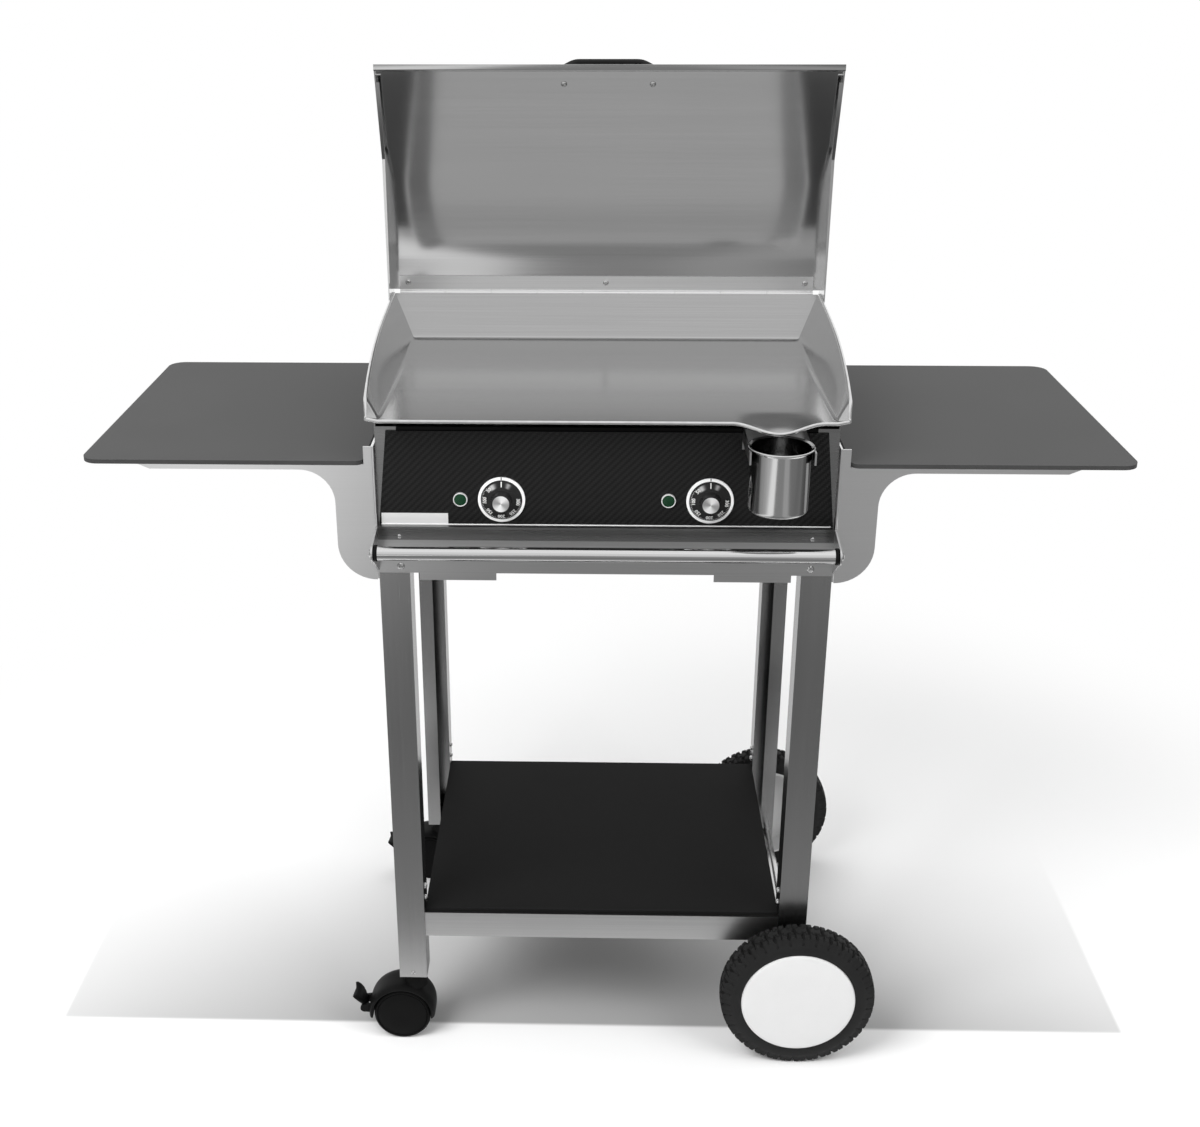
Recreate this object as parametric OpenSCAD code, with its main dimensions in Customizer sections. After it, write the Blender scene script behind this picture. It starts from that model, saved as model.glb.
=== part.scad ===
// Electric griddle on a trolley: the heated plate and its casing, a hinged lid, two side shelves,
// a lower shelf, two big wheels on the right and two braked casters on the left.
// Millimetres, +Z up, +X to the right of someone facing the dials, +Y away from them.
// The origin is on the floor, under the middle of the object seen from above.

/* [Trolley] */
// Width over the legs
frame_w = 530; // [480:5:700]
// Depth over the legs
frame_d = 407; // [380:1:520]
// Side of the square leg channel
leg_w = 36; // [30:1:45]
// Wall of the leg channel
leg_t = 1.5; // [1.2:0.1:2.5]
// Width of the channel's folded lip
leg_lip = 19; // [14:1:22]
// Height of the top of the aprons, which carry the casing
frame_z = 738; // [680:1:800]
// Height of the front and rear aprons
apron_h = 57; // [45:1:80]
// Sheet of the aprons and brackets
apron_t = 2; // [1.5:0.1:3]
// Height of the underside of a caster's leg
leg_foot_z = 98; // [94:1:110]

/* [Lower shelf] */
// Height of the top of the lower shelf
low_shelf_z = 204; // [170:1:400]
// Thickness of the lower shelf
low_shelf_t = 5; // [3:1:12]
// Height of the rails that carry it
low_rail_h = 36; // [25:1:50]

/* [Side shelves] */
// Width over both side shelves
shelves_w = 1204; // [1050:2:1500]
// Height of the top of a side shelf
shelf_z = 820; // [800:1:850]
// Thickness of a side shelf
shelf_t = 5; // [4:1:12]
// Gap between the bracket and a side shelf
shelf_gap = 10.5; // [4:0.5:20]
// How far a shelf stands out over the legs at front and rear
shelf_over = 6; // [2:1:20]
// Radius of a shelf's outer corners
shelf_r = 20; // [10:1:50]
// Height of the bracket's arm under the shelf
arm_h = 7; // [6:0.5:20]
// Radius of the bracket's hollow corner
gusset_r = 40; // [20:1:80]
// Width of the bracket beside the leg
gusset_w = 44.5; // [30:0.5:60]

/* [Griddle plate] */
// Height of the cooking surface
worktop_z = 875; // [840:1:960]
// Thickness of the plate
plate_t = 5; // [4:0.5:10]
// How far the flat floor's sides stand inside the legs' outer faces
floor_in = 11; // [8:0.5:40]
// Depth of the flat floor
floor_d = 360; // [300:1:420]
// How far the front lip stands out over the front legs
lip_over = 23.5; // [15:0.5:40]
// How far the side walls lean out at the rear
wall_flare = 25.5; // [12:0.5:50]
// How far the side walls lean out at the front
wall_front_flare = 13.5; // [6:0.5:30]
// Height of the walls at the rear
wall_h = 55; // [40:1:70]
// Height of the side walls at the front
wall_front_h = 14; // [6:1:24]
// Thickness of the walls
wall_t = 3; // [2:0.5:5]
// How far the rear wall leans back
wall_lean = 24; // [10:1:40]
// Distance from the floor's right side to the middle of the spout
spout_in = 64; // [58:1:150]
// Half the width of the spout
spout_half = 52; // [30:1:60]
// How far the spout's tip drops
spout_drop = 8.5; // [4:0.5:9]
// How far the spout's tip stands out
spout_out = 13; // [6:1:20]

/* [Casing] */
// How far the casing's sides stand inside the legs' outer faces
case_in = 1; // [0:0.5:3]
// Sheet of the casing
case_t = 1.5; // [1:0.1:2.5]
// Depth of the casing
case_d = 367.5; // [330:0.5:370]
// How much narrower the control panel is on each side of its top
panel_taper = 13; // [2:0.5:30]
// Height of the control panel
panel_h = 116; // [105:1:118]
// Thickness of the control panel
panel_t = 2; // [1.5:0.1:4]
// Distance from the casing's side to a dial
dial_in = 144; // [139:1:180]
// Height of the dials above the casing's underside
dial_up = 32.5; // [32:0.5:80]
// Outer radius of the dial's ring
ring_r = 28.3; // [24:0.1:31]
// Radius of the turning skirt
skirt_r = 23.8; // [18:0.1:26]
// Radius of the knob
knob_r = 12.2; // [10.8:0.1:16]
// Length of the knob in front of its skirt
knob_len = 11.5; // [8:0.5:24]
// Distance from a dial to its lamp
lamp_gap = 47.7; // [40:0.1:60]

/* [Lid] */
// Gap between the lid's cheeks and the griddle's side walls
lid_over = 3; // [2.5:0.5:30]
// Sheet of the lid
lid_t = 1.5; // [1:0.1:2.5]
// Length of the lid's straight part beside the hinge
lid_rear_len = 65; // [50:1:90]
// Length of the lid's straight front part
lid_front_len = 184; // [150:1:210]
// Radius of the bend between them
lid_bend_r = 115; // [80:1:160]
// Lean of the open lid's lower part, backwards
lid_back_lean = 3; // [0:0.5:8]
// Lean of the open lid's upper part, forwards
lid_front_lean = 25.3; // [18:0.1:32]
// How far the lid turns to close
lid_close = 75; // [70:1:76]
// Length of the lid's grip
grip_len = 120; // [90:1:160]
// How far the grip stands off
grip_off = 47; // [34:1:60]

/* [Grease cup] */
// Radius of the cup's rim
cup_rim_r = 37; // [32:0.5:42]
// Radius of the cup
cup_r = 33.5; // [26:0.5:36]
// Height of the cup
cup_h = 75; // [50:1:80]
// Height of the cup's rim below the cooking surface
cup_drop = 15.5; // [15.5:0.5:30]

/* [Wheels] */
// Outer radius of a big wheel
wheel_r = 100; // [90:1:110]
// Width of a big wheel
wheel_w = 40; // [30:1:50]
// Radius of the wheel's disc
disc_r = 73; // [50:1:78]
// Radius of the axle
axle_r = 6; // [5:0.5:8]
// Radius of a caster's wheels
caster_r = 38; // [34:0.5:40]
// Width of a caster over both wheels
caster_w = 45; // [38:1:50]
// How far a caster's wheels trail behind its stem
caster_trail = 17; // [12:1:25]

/* [Hidden] */
$fn = 64;

// Shared small sizes
// Overrun of every cut
over = 1;
// Radial clearance of every running fit
fit = 0.05;
// Gap between curved faces of different bodies
clear = 0.4;
// Small chamfer of turned parts
soft = 1;

// Trolley
leg_half = frame_w / 2;
front_y = -frame_d / 2;
rear_y = frame_d / 2;
leg_top_z = frame_z - apron_t;
apron_z = frame_z - apron_h;
apron_front = front_y - apron_t;
// Deeper tabs along the apron's lower edge
tab_h = 9;
tab_near_share = 0.48;
tab_far_share = 0.82;
tab_near = tab_near_share * leg_half;
tab_far = tab_far_share * leg_half;
ledge_d = 16;
side_rail_h = 40;

// Bar across the front and the wings that hold it
bar_r = 8.3;
bar_bore_r = 6.8;
bar_out = 39;
bar_drop = 16.5;
cap_l = 4.5;
cap_lip_r = 1.3;
wing_r = 10.5;
wing_x = leg_half - soft / 2;
bar_half = wing_x - cap_l;
bar_y = apron_front - bar_out;
bar_z = frame_z - bar_drop;
bar_screw_r = 5;
bar_screw_h = 4;
bar_stud_r = 2.5;
wing_tail = 54;

// Fasteners of the frame
bolt_r = 3;
bolt_head_r = 4.6;
bolt_head_h = 2.6;
head_top_share = 0.7;
side_bolt_r = 3.5;
low_bolt_up = 8;
low_bolt_pitch = 18;
bolt_in = 26;
bolt_drop = 48.5;
bolt_x = leg_half - bolt_in;
small_screw_r = 2.6;
small_screw_drop = 10.5;
foot_screw_up = 7;

// Lower shelf
shelf_fit = 0.5;
low_half = leg_half - leg_w - shelf_fit;
low_front = front_y + leg_t + 2 * shelf_fit;
low_rear_in = 22;
low_rear = rear_y - low_rear_in;
low_rail_t = 1.5;
low_rail_top = low_shelf_z - low_shelf_t;
low_flange = 25;

// Side shelves and their brackets
gusset_x = leg_half + apron_t;
gusset_out = gusset_x + gusset_w;
shelf_in = gusset_x + shelf_gap;
shelf_out = shelves_w / 2;
shelf_under = shelf_z - shelf_t;
arm_z = shelf_under - arm_h;
arm_end_share = 0.8;
arm_end = shelf_in + arm_end_share * (shelf_out - shelf_in);
arm_nose = 14;
ear_up = 16;
ear_z = shelf_z + ear_up;
gusset_foot_z = apron_z - tab_h;
gusset_foot_r = gusset_w;
gusset_flange = 30;
shelf_inner_r = 9;

// Griddle plate
plate_front = front_y - lip_over;
fold_y = plate_front + floor_d;
plate_under = worktop_z - plate_t;
floor_half = leg_half - floor_in;
wall_top_half = floor_half + wall_flare;
wall_front_half = floor_half + wall_front_flare;
spout_x = floor_half - spout_in;
lip_side = 9;
lip_half = floor_half + lip_side;
lip_d = 14;
wall_curve_share = 0.8;
wall_curve = wall_curve_share * floor_d;
wall_steps = 20;
wall_sink = 1;
spout_run = 40;
spout_steps = 20;
spout_rows = 6;
wall_out_y = fold_y + wall_lean + wall_t;

// Casing
case_half = leg_half - case_in;
case_set = 8;
case_front = front_y + case_set;
case_rear = case_front + case_d;
case_top = plate_under;
front_top_drop = 13;
front_top = case_top - front_top_drop;
rim_in = 14;
skirt_h = 15;
skirt_front = apron_front - case_t;
panel_front = case_front - panel_t;
panel_z = frame_z - case_t;
panel_bottom_half = case_half - soft;
panel_top_half = case_half - panel_taper;
dial_x = case_half - dial_in;
dial_z = frame_z + dial_up;
shaft_r = 3;
bush_r = 5;
bush_hole_r = 5.5;
shaft_in = 14;
ring_t = 2.5;
ring_in_r = skirt_r + clear;
skirt_t = 5;
skirt_back = panel_front - clear;
skirt_face = skirt_back - skirt_t;
knob_face = skirt_face - knob_len;
knob_cap_r = 9.6;
knob_cap_t = 1.6;
knob_dish = 0.8;
thermo_w = 44;
thermo_d = 34;
thermo_h = 46;
lamp_r = 8.4;
lamp_lens_r = 7.1;
lamp_seat = 2;
lamp_out = 3;
lamp_stem_r = 4.2;
lamp_body_r = 5.2;
lamp_body_l = 24;
plate_label_w = 77.5;
plate_label_h = 13;
plate_label_t = 0.6;
plate_label_in = 3;
plate_label_up = 3.5;

// Base pan
pan_t = 1.2;
pan_slots = 8;
slot_w = 5;
slot_l = 70;
slot_pitch = 22;

// Heating elements
rod_r = 3.25;
rod_pitch = 42;
rod_runs = 6;
rod_margin = 46;
rod_z = plate_under - rod_r;
rod_lip = 24;
rod_front = plate_front + rod_margin + rod_lip;
rod_rear = fold_y - rod_margin;
rod_left = floor_half / 2 - rod_pitch * (rod_runs - 1) / 2;
rod_drop = 34;
clamp_half = floor_half / 2 - soft;
clamp_w = 14;
clamp_t = 2.5;
clamp_near_share = 0.28;
clamp_far_share = 0.74;
stud_r = 2.5;

// Terminal block and cable gland
terminal_in = 114;
terminal_x = case_half - terminal_in;
terminal_w = 60;
terminal_d = 26;
terminal_h = 22;
terminal_ways = 4;
terminal_screw_r = 3;
gland_in = 59;
gland_x = case_half - gland_in;
gland_up = 24;
gland_z = frame_z + gland_up;
gland_r = 8;
gland_hex_r = 13;
gland_hex_t = 6;
gland_l = 12;
gland_dome_r = 10.5;
gland_hole_r = 4.2;

// Lid and hinge
lid_half = wall_top_half + lid_over;
knuckle_r = 3.5;
pin_r = 1.6;
lean_a = atan(wall_lean / (wall_h + wall_sink));
wall_top_z = worktop_z + wall_h;
leaf_t = 1.5;
hinge_in = 5.5;
hinge_half = wall_top_half - hinge_in;
knuckles = 9;
knuckle_gap = 0.5;
hinge_y = wall_out_y + leaf_t + knuckle_r;
hinge_z = wall_top_z - soft;
leaf_down = 20;
leaf_below = 2.2;
leaf_up = 22;
knuckle_pitch = 2 * hinge_half / knuckles;
lid_y = hinge_y + knuckle_r;
lid_up = 4;
lid_z = hinge_z + lid_up;
lid_steps = 10;
hem_h = 7;
hem_d = 5;
mouth_in = 44;
mouth_low = 14;
mouth_top_in = 4;
mouth_bow = 14;
mouth_bow_share = 0.62;
flange_top_w = 4.5;
flange_low_w = 1;
grip_thick = 15;
grip_bar = 13;
grip_bevel = 12;
grip_back = 18.8;
grip_screws = 108;
screw_head_r = 3.6;
screw_head_h = 2;
leaf_screw_up = 13.5;
leaf_screw_in = 11;
post_w = 14;

// Grease cup and its fork
cup_wall = 0.8;
cup_out = 36;
cup_y = plate_front - cup_out;
cup_rim_z = worktop_z - cup_drop;
cup_base_z = cup_rim_z - cup_h;
cup_rim_t = 2;
fork_h = 14;
fork_t = 2;
fork_gap = 0.6;
fork_half = cup_r + fork_gap;
fork_top = cup_rim_z - cup_rim_t;
fork_reach = 20;
fork_front = cup_y - fork_reach;
fork_plate_h = 24;

// Big wheels
axle_in = 10;
wheel_x = leg_half - axle_in;
wheel_gap = 4.5;
collar_r = 10;
tyre_in_r = disc_r + soft;
tyre_shoulder = 8;
tyre_side = 13;
tyre_side_r = wheel_r - tyre_side;
disc_dome = 3;
dome_share = 0.75;
disc_web = 3;
disc_recess = 8;
boss_r = 14;
axle_tail = 4;
leg_past_axle = 18;
leg_wheel_foot_z = wheel_r - leg_past_axle;

// Casters
caster_x = -leg_half + leg_w / 2;
caster_y = rear_y - leg_w / 2;
caster_axis_x = caster_x - caster_trail;
caster_rib = 5;
caster_gap = 0.8;
hood_out = 7.5;
hood_r = caster_r + hood_out;
hood_room = 1.6;
hood_in_r = caster_r + hood_room;
hood_low = 4;
caster_pin_r = 4;
stem_r = 5.5;
stem_in = 20;
neck_r = 13;
socket_h = 24;
lever_off = 6.5;
lever_x = hood_r + lever_off;
lever_up = 3;
lever_w = 16;
lever_boss_r = 5.5;
lever_pin_r = 2;
ear_t = 4;
ear_gap = 0.4;
lever_tail = 16;
lever_reach = 15;
lever_rise = 38;
lever_lip = 9;
lever_bend = 22;

// Shared shapes
module block(from, to) { translate(from) cube(to - from); }
module rod_x(r, from, to) { translate(from) rotate([0, 90, 0]) cylinder(r = r, h = to); }
module rod_y(r, from, to) { translate(from) rotate([-90, 0, 0]) cylinder(r = r, h = to); }
module rod_z(r, from, to) { translate(from) cylinder(r = r, h = to); }
module both_sides() { children(); mirror([1, 0, 0]) children(); }
module both_ends() { children(); mirror([0, 1, 0]) children(); }
// Turns an outline in X and Z into a sheet that starts at a Y and runs back
module sheet_xz(y, t) { translate([0, y + t, 0]) rotate([90, 0, 0]) linear_extrude(height = t) children(); }
// Turns an outline in Y and Z into a sheet that starts at an X and runs right
module sheet_yz(x, t) {
    translate([x, 0, 0]) rotate([90, 0, 90]) linear_extrude(height = t) children();
}
function arc(c, r, a0, a1, n = 12) =
    [for (i = [0:n]) let (a = a0 + (a1 - a0) * i / n) [c[0] + r * cos(a), c[1] + r * sin(a)]];
// Closes one end of a ring, across from its first half to its second
function cap_faces(base, cols, first) =
    [for (j = [0:cols / 2 - 2], near = [true, false])
        let (a = base + j, b = base + j + 1, c = base + cols - 2 - j, d = base + cols - 1 - j,
            t = near ? [a, b, c] : [a, c, d])
        first ? [t[2], t[1], t[0]] : t];
// Faces of a closed ring of sections, each with the same number of points
function ring_faces(rows, cols) = concat(
    [for (i = [0:rows - 2], j = [0:cols - 1])
        [i * cols + j, i * cols + (j + 1) % cols, (i + 1) * cols + (j + 1) % cols]],
    [for (i = [0:rows - 2], j = [0:cols - 1])
        [i * cols + j, (i + 1) * cols + (j + 1) % cols, (i + 1) * cols + j]],
    cap_faces(0, cols, true),
    cap_faces((rows - 1) * cols, cols, false));
module skin(sections) {
    polyhedron(points = [for (s = sections, p = s) p],
        faces = ring_faces(len(sections), len(sections[0])), convexity = 6);
}

// Griddle plate
function wall_rise(s) =
    wall_front_h + (wall_h - wall_front_h) * (1 - pow(1 - min(1, s * floor_d / wall_curve), 3));
function wall_top_x(s) = wall_front_half + (wall_top_half - wall_front_half) * s;
function wall_section(s) = let (
        y0 = plate_front + floor_d * s,
        y1 = plate_front + (floor_d + wall_lean) * s,
        x1 = wall_top_x(s),
        z1 = worktop_z + wall_rise(s),
        z0 = worktop_z - wall_sink)
    [[floor_half, y0, z0], [floor_half + wall_t, y0, z0], [x1, y1, z1], [x1 - wall_t, y1, z1]];
module side_wall() {
    skin([for (i = [0:wall_steps]) wall_section(i / wall_steps * (1 + wall_sink / floor_d))]);
}
module rear_wall() {
    low = floor_half + wall_t;
    skin([
        for (s = [1, -1]) [
            [s * low, fold_y, worktop_z - wall_sink], [s * low, fold_y + wall_t, worktop_z - wall_sink],
            [s * wall_top_half, wall_out_y, wall_top_z],
            [s * wall_top_half, wall_out_y - wall_t, wall_top_z]]]);
}
function spout_share(x) = 0.5 + 0.5 * cos(180 * x / spout_half);
function spout_row(x) = let (w = spout_share(x)) concat(
    [for (j = [0:spout_rows]) let (t = j / spout_rows)
        [spout_x + x, plate_front + spout_run - (spout_run + spout_out * w) * t,
            worktop_z - spout_drop * w * t * t]],
    [for (j = [spout_rows:-1:0]) let (t = j / spout_rows)
        [spout_x + x, plate_front + spout_run - (spout_run + spout_out * w) * t,
            plate_under - spout_drop * w * t * t]]);
module spout() {
    skin([for (i = [spout_steps:-1:0]) spout_row(spout_half * (2 * i / spout_steps - 1))]);
}
module griddle_plate() {
    color("silver") union() {
        difference() {
            union() {
                block([-floor_half - wall_t, plate_front, plate_under],
                    [floor_half + wall_t, fold_y + wall_t, worktop_z]);
                block([-lip_half, plate_front, plate_under], [lip_half, plate_front + lip_d, worktop_z]);
            }
            block([spout_x - spout_half, plate_front - over, plate_under - over],
                [spout_x + spout_half, plate_front + spout_run, worktop_z + over]);
        }
        spout();
        both_sides() side_wall();
        rear_wall();
    }
}

// Casing
module dial_places() { for (x = [-dial_x, dial_x]) translate([x, 0, dial_z]) children(); }
module lamp_places() { for (x = [-dial_x, dial_x]) translate([x - lamp_gap, 0, dial_z]) children(); }
module casing() {
    color("gainsboro") difference() {
        union() {
            block([-case_half, case_front, frame_z], [case_half, case_front + case_t, front_top]);
            block([-case_half, case_rear - case_t, frame_z], [case_half, case_rear, case_top]);
            both_sides() {
                block([case_half - case_t, case_front, frame_z], [case_half, case_rear, case_top]);
                block([case_half - rim_in, case_front, case_top - case_t],
                    [case_half, case_rear, case_top]);
            }
            block([-case_half, fold_y - rim_in, case_top - case_t], [case_half, case_rear, case_top]);
            block([-case_half, case_front, front_top - case_t],
                [case_half, case_front + rim_in, front_top]);
            block([-case_half, skirt_front, frame_z], [case_half, case_front + case_t, frame_z + case_t]);
            block([-case_half, skirt_front, frame_z - skirt_h],
                [case_half, skirt_front + case_t, frame_z + case_t]);
        }
        dial_places() rod_y(bush_hole_r, [0, case_front - over, 0], case_t + 2 * over);
        lamp_places() rod_y(lamp_body_r, [0, case_front - over, 0], case_t + 2 * over);
        rod_y(gland_r, [gland_x, case_rear - case_t - over, gland_z], case_t + 2 * over);
        for (x = [-bolt_x, bolt_x])
            rod_y(small_screw_r / 2, [x, skirt_front - over, frame_z - small_screw_drop], case_t + 2 * over);
    }
}
module control_panel() {
    color("dimgray") difference() {
        sheet_xz(panel_front, panel_t)
            polygon([[-panel_bottom_half, panel_z + case_t * 2], [panel_bottom_half, panel_z + case_t * 2],
                [panel_top_half, panel_z + panel_h], [-panel_top_half, panel_z + panel_h]]);
        dial_places() rod_y(bush_hole_r, [0, panel_front - over, 0], panel_t + 2 * over);
        lamp_places() rod_y(lamp_body_r, [0, panel_front - over, 0], panel_t + 2 * over);
    }
}
module base_pan() {
    color("darkgray") difference() {
        block([-case_half + case_t, case_front + case_t, frame_z + case_t],
            [case_half - case_t, case_rear - case_t, frame_z + case_t + pan_t]);
        for (side = [-1, 1], i = [0:pan_slots - 1])
            translate([side * floor_half / 2, (i - (pan_slots - 1) / 2) * slot_pitch, 0])
                block([-slot_l / 2, -slot_w / 2, frame_z],
                    [slot_l / 2, slot_w / 2, frame_z + case_t + pan_t + over]);
    }
}

// Under the plate
module rod_bend(x, y, up) {
    translate([x, y, rod_z]) rotate([0, 0, up ? 0 : 180])
        rotate_extrude(angle = 180) translate([rod_pitch / 2, 0]) circle(r = rod_r);
}
module heating_element() {
    for (i = [0:rod_runs - 1])
        rod_y(rod_r, [rod_left + i * rod_pitch, rod_front, rod_z], rod_rear - rod_front);
    for (i = [0:rod_runs - 2])
        rod_bend(rod_left + (i + 0.5) * rod_pitch, i % 2 == 0 ? rod_rear : rod_front, i % 2 == 0);
    for (i = [0, rod_runs - 1]) {
        translate([rod_left + i * rod_pitch, rod_front, rod_z]) sphere(r = rod_r);
        rod_z(rod_r, [rod_left + i * rod_pitch, rod_front, rod_z - rod_drop], rod_drop);
    }
}
module heating_elements() {
    color("rosybrown") both_sides() heating_element();
}
module element_clamps() {
    low = rod_z - rod_r - clamp_t;
    color("darkgray") for (side = [-1, 1], s = [clamp_near_share, clamp_far_share]) {
        y = plate_front + s * floor_d;
        translate([side * floor_half / 2, y, 0]) {
            block([-clamp_half, -clamp_w / 2, low], [clamp_half, clamp_w / 2, low + clamp_t]);
            for (x = [-rod_pitch, rod_pitch]) rod_z(stud_r, [x, 0, low], plate_under - low);
        }
    }
}
module thermostats() {
    color("tan") dial_places() difference() {
        union() {
            translate([0, case_front + case_t, 0]) block([-thermo_w / 2, 0, -thermo_h / 2 + 2 * soft],
                [thermo_w / 2, thermo_d, thermo_h / 2]);
            rod_y(bush_r, [0, panel_front + soft / 2, 0], case_front + case_t - panel_front);
        }
        rod_y(shaft_r + fit, [0, panel_front - over, 0], shaft_in + over + clear);
    }
}
module terminal_block() {
    base = frame_z + case_t + pan_t;
    color("ivory") difference() {
        block([terminal_x - terminal_w / 2, case_rear - case_t - 2 * terminal_d, base],
            [terminal_x + terminal_w / 2, case_rear - case_t - terminal_d, base + terminal_h]);
        for (i = [0:terminal_ways - 1])
            rod_z(terminal_screw_r, [terminal_x + (i - (terminal_ways - 1) / 2) * terminal_w / terminal_ways,
                case_rear - case_t - 1.5 * terminal_d, base + terminal_h / 2], terminal_h);
    }
}
module cable_gland() {
    color("black") difference() {
        union() {
            rod_y(gland_r, [gland_x, case_rear - case_t - gland_l, gland_z], gland_l + case_t + gland_hex_t);
            translate([gland_x, case_rear, gland_z]) rotate([-90, 0, 0])
                cylinder(r = gland_hex_r, h = gland_hex_t, $fn = 6);
            translate([gland_x, case_rear - case_t, gland_z]) rotate([90, 0, 0])
                cylinder(r = gland_hex_r, h = gland_hex_t / 2, $fn = 6);
            rod_y(gland_dome_r, [gland_x, case_rear + gland_hex_t, gland_z], gland_l);
        }
        rod_y(gland_hole_r, [gland_x, case_rear - case_t - gland_l - over, gland_z], 4 * gland_l);
    }
}

// Dials and lamps
module dial_rings() {
    color("white") dial_places() difference() {
        rod_y(ring_r, [0, panel_front - ring_t, 0], ring_t);
        rod_y(ring_in_r, [0, panel_front - ring_t - over, 0], ring_t + 2 * over);
    }
}
module lamp_bezels() {
    color("lightgray") lamp_places() difference() {
        union() {
            translate([0, panel_front, 0]) rotate([90, 0, 0])
                cylinder(r1 = lamp_r, r2 = lamp_r - soft / 2, h = lamp_out);
            rod_y(lamp_body_r, [0, panel_front, 0], lamp_body_l);
        }
        rod_y(lamp_lens_r, [0, panel_front - lamp_out - over, 0], lamp_seat + over);
        rod_y(lamp_stem_r, [0, panel_front - lamp_out - over, 0], lamp_out + lamp_body_l / 2);
    }
}
module lamp_lenses() {
    color("green") lamp_places() union() {
        rod_y(lamp_lens_r, [0, panel_front - lamp_out, 0], lamp_seat);
        rod_y(lamp_stem_r, [0, panel_front - lamp_out, 0], lamp_out + lamp_body_l / 3);
        translate([0, panel_front - lamp_out, 0]) rotate([90, 0, 0])
            cylinder(r1 = lamp_lens_r, r2 = lamp_lens_r - 2 * soft, h = soft);
    }
}
module nameplate() {
    x = -panel_bottom_half + plate_label_in;
    z = panel_z + plate_label_up;
    color("whitesmoke") block([x, panel_front - plate_label_t, z],
        [x + plate_label_w, panel_front, z + plate_label_h]);
}
module knob_shaft(x) {
    color("silver") rod_y(shaft_r, [x, skirt_face - knob_len / 2, dial_z],
        panel_front + shaft_in - skirt_face + knob_len / 2);
}
module knob_skirt(x) {
    color("black") difference() {
        union() {
            rod_y(skirt_r, [x, skirt_face, dial_z], skirt_t);
            translate([x, skirt_face, dial_z]) rotate([90, 0, 0])
                cylinder(r1 = knob_r, r2 = knob_r - soft, h = knob_len);
        }
        rod_y(shaft_r, [x, skirt_face - knob_len / 2, dial_z], knob_len + skirt_t);
        rod_y(knob_cap_r, [x, knob_face - over, dial_z], knob_cap_t + over);
    }
}
module knob_cap(x) {
    color("silver") difference() {
        rod_y(knob_cap_r, [x, knob_face, dial_z], knob_cap_t);
        translate([x, knob_face - knob_dish, dial_z]) rotate([-90, 0, 0])
            cylinder(r1 = knob_cap_r - soft, r2 = 0, h = 2 * knob_dish);
    }
}

// Grease cup
module grease_cup() {
    color("silver") translate([spout_x, cup_y, 0]) rotate_extrude() polygon([
        [0, cup_base_z], [cup_r - 2 * cup_rim_t, cup_base_z], [cup_r, cup_base_z + cup_rim_t],
        [cup_r, fork_top], [cup_rim_r, fork_top], [cup_rim_r, cup_rim_z], [cup_r - cup_wall, cup_rim_z],
        [cup_r - cup_wall, cup_base_z + cup_rim_t], [0, cup_base_z + cup_rim_t]]);
}
module cup_holder() {
    base = fork_top - fork_h;
    back = panel_front - fork_t;
    color("silver") translate([spout_x, 0, 0]) {
        both_sides() block([fork_half, fork_front, base], [fork_half + fork_t, back + fork_t, fork_top]);
        block([-fork_half - fork_t, back, fork_top - fork_plate_h],
            [fork_half + fork_t, back + fork_t, fork_top]);
    }
}

// Lid: a path up the sheet from the hinge, then round the bend and forwards to the hem
lid_p1 = [lid_y + lid_rear_len * sin(lid_back_lean), lid_z + lid_rear_len * cos(lid_back_lean)];
function lid_bend(i, r) = let (a = -lid_back_lean + (lid_front_lean + lid_back_lean) * i / lid_steps)
    [lid_p1[0] - lid_bend_r * cos(lid_back_lean) + r * cos(a),
        lid_p1[1] + lid_bend_r * sin(lid_back_lean) + r * sin(a)];
lid_p2 = lid_bend(lid_steps, lid_bend_r);
lid_dir = [-sin(lid_front_lean), cos(lid_front_lean)];
lid_out = [cos(lid_front_lean), sin(lid_front_lean)];
lid_end = lid_p2 + lid_front_len * lid_dir;
function lid_path(off) = concat(
    [[lid_y + off, lid_z]],
    [for (i = [0:lid_steps]) lid_bend(i, lid_bend_r + off)],
    [lid_end + off * lid_out]);
function backwards(list) = [for (i = [len(list) - 1:-1:0]) list[i]];
mouth_low_p = [hinge_y - mouth_in, hinge_z - mouth_low];
mouth_mid_p = [hinge_y - mouth_in - mouth_bow / 4, hinge_z + mouth_bow_share * (lid_end[1] - hinge_z)];
mouth_top_p = [lid_end[0] - mouth_top_in, lid_end[1]];
module lid_sheet() {
    color("lightgray") union() {
        sheet_yz(-lid_half, 2 * lid_half) polygon(concat(lid_path(0), backwards(lid_path(lid_t))));
        sheet_yz(-lid_half, 2 * lid_half) polygon([
            lid_end + lid_t * lid_out, lid_end - [hem_d, 0], lid_end - [hem_d, hem_h],
            lid_end - [hem_d - lid_t, hem_h], lid_end - [hem_d - lid_t, lid_t], lid_end - lid_t * lid_dir]);
    }
}
module cheek_flange(low, high, w0, w1) {
    skin([for (e = [[high, w1], [low, w0]]) [
        [lid_half - e[1], e[0][0], e[0][1]], [lid_half + lid_t / 2, e[0][0], e[0][1]],
        [lid_half + lid_t / 2, e[0][0] + lid_t, e[0][1]], [lid_half - e[1], e[0][0] + lid_t, e[0][1]]]]);
}
module lid_cheek() {
    color("silver") union() {
        sheet_yz(lid_half, lid_t) polygon(concat(
            [mouth_low_p, mouth_mid_p, mouth_top_p], backwards(lid_path(lid_t)),
            [[lid_y + lid_t, hinge_z - knuckle_r], [hinge_y, hinge_z - mouth_low]]));
        cheek_flange(mouth_low_p + [0, mouth_low + leaf_up], mouth_mid_p, flange_low_w, flange_top_w / 2);
        cheek_flange(mouth_mid_p, mouth_top_p - [0, 2 * hem_h], flange_top_w / 2, flange_top_w);
    }
}
module lid_cheek_right() { lid_cheek(); }
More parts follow.
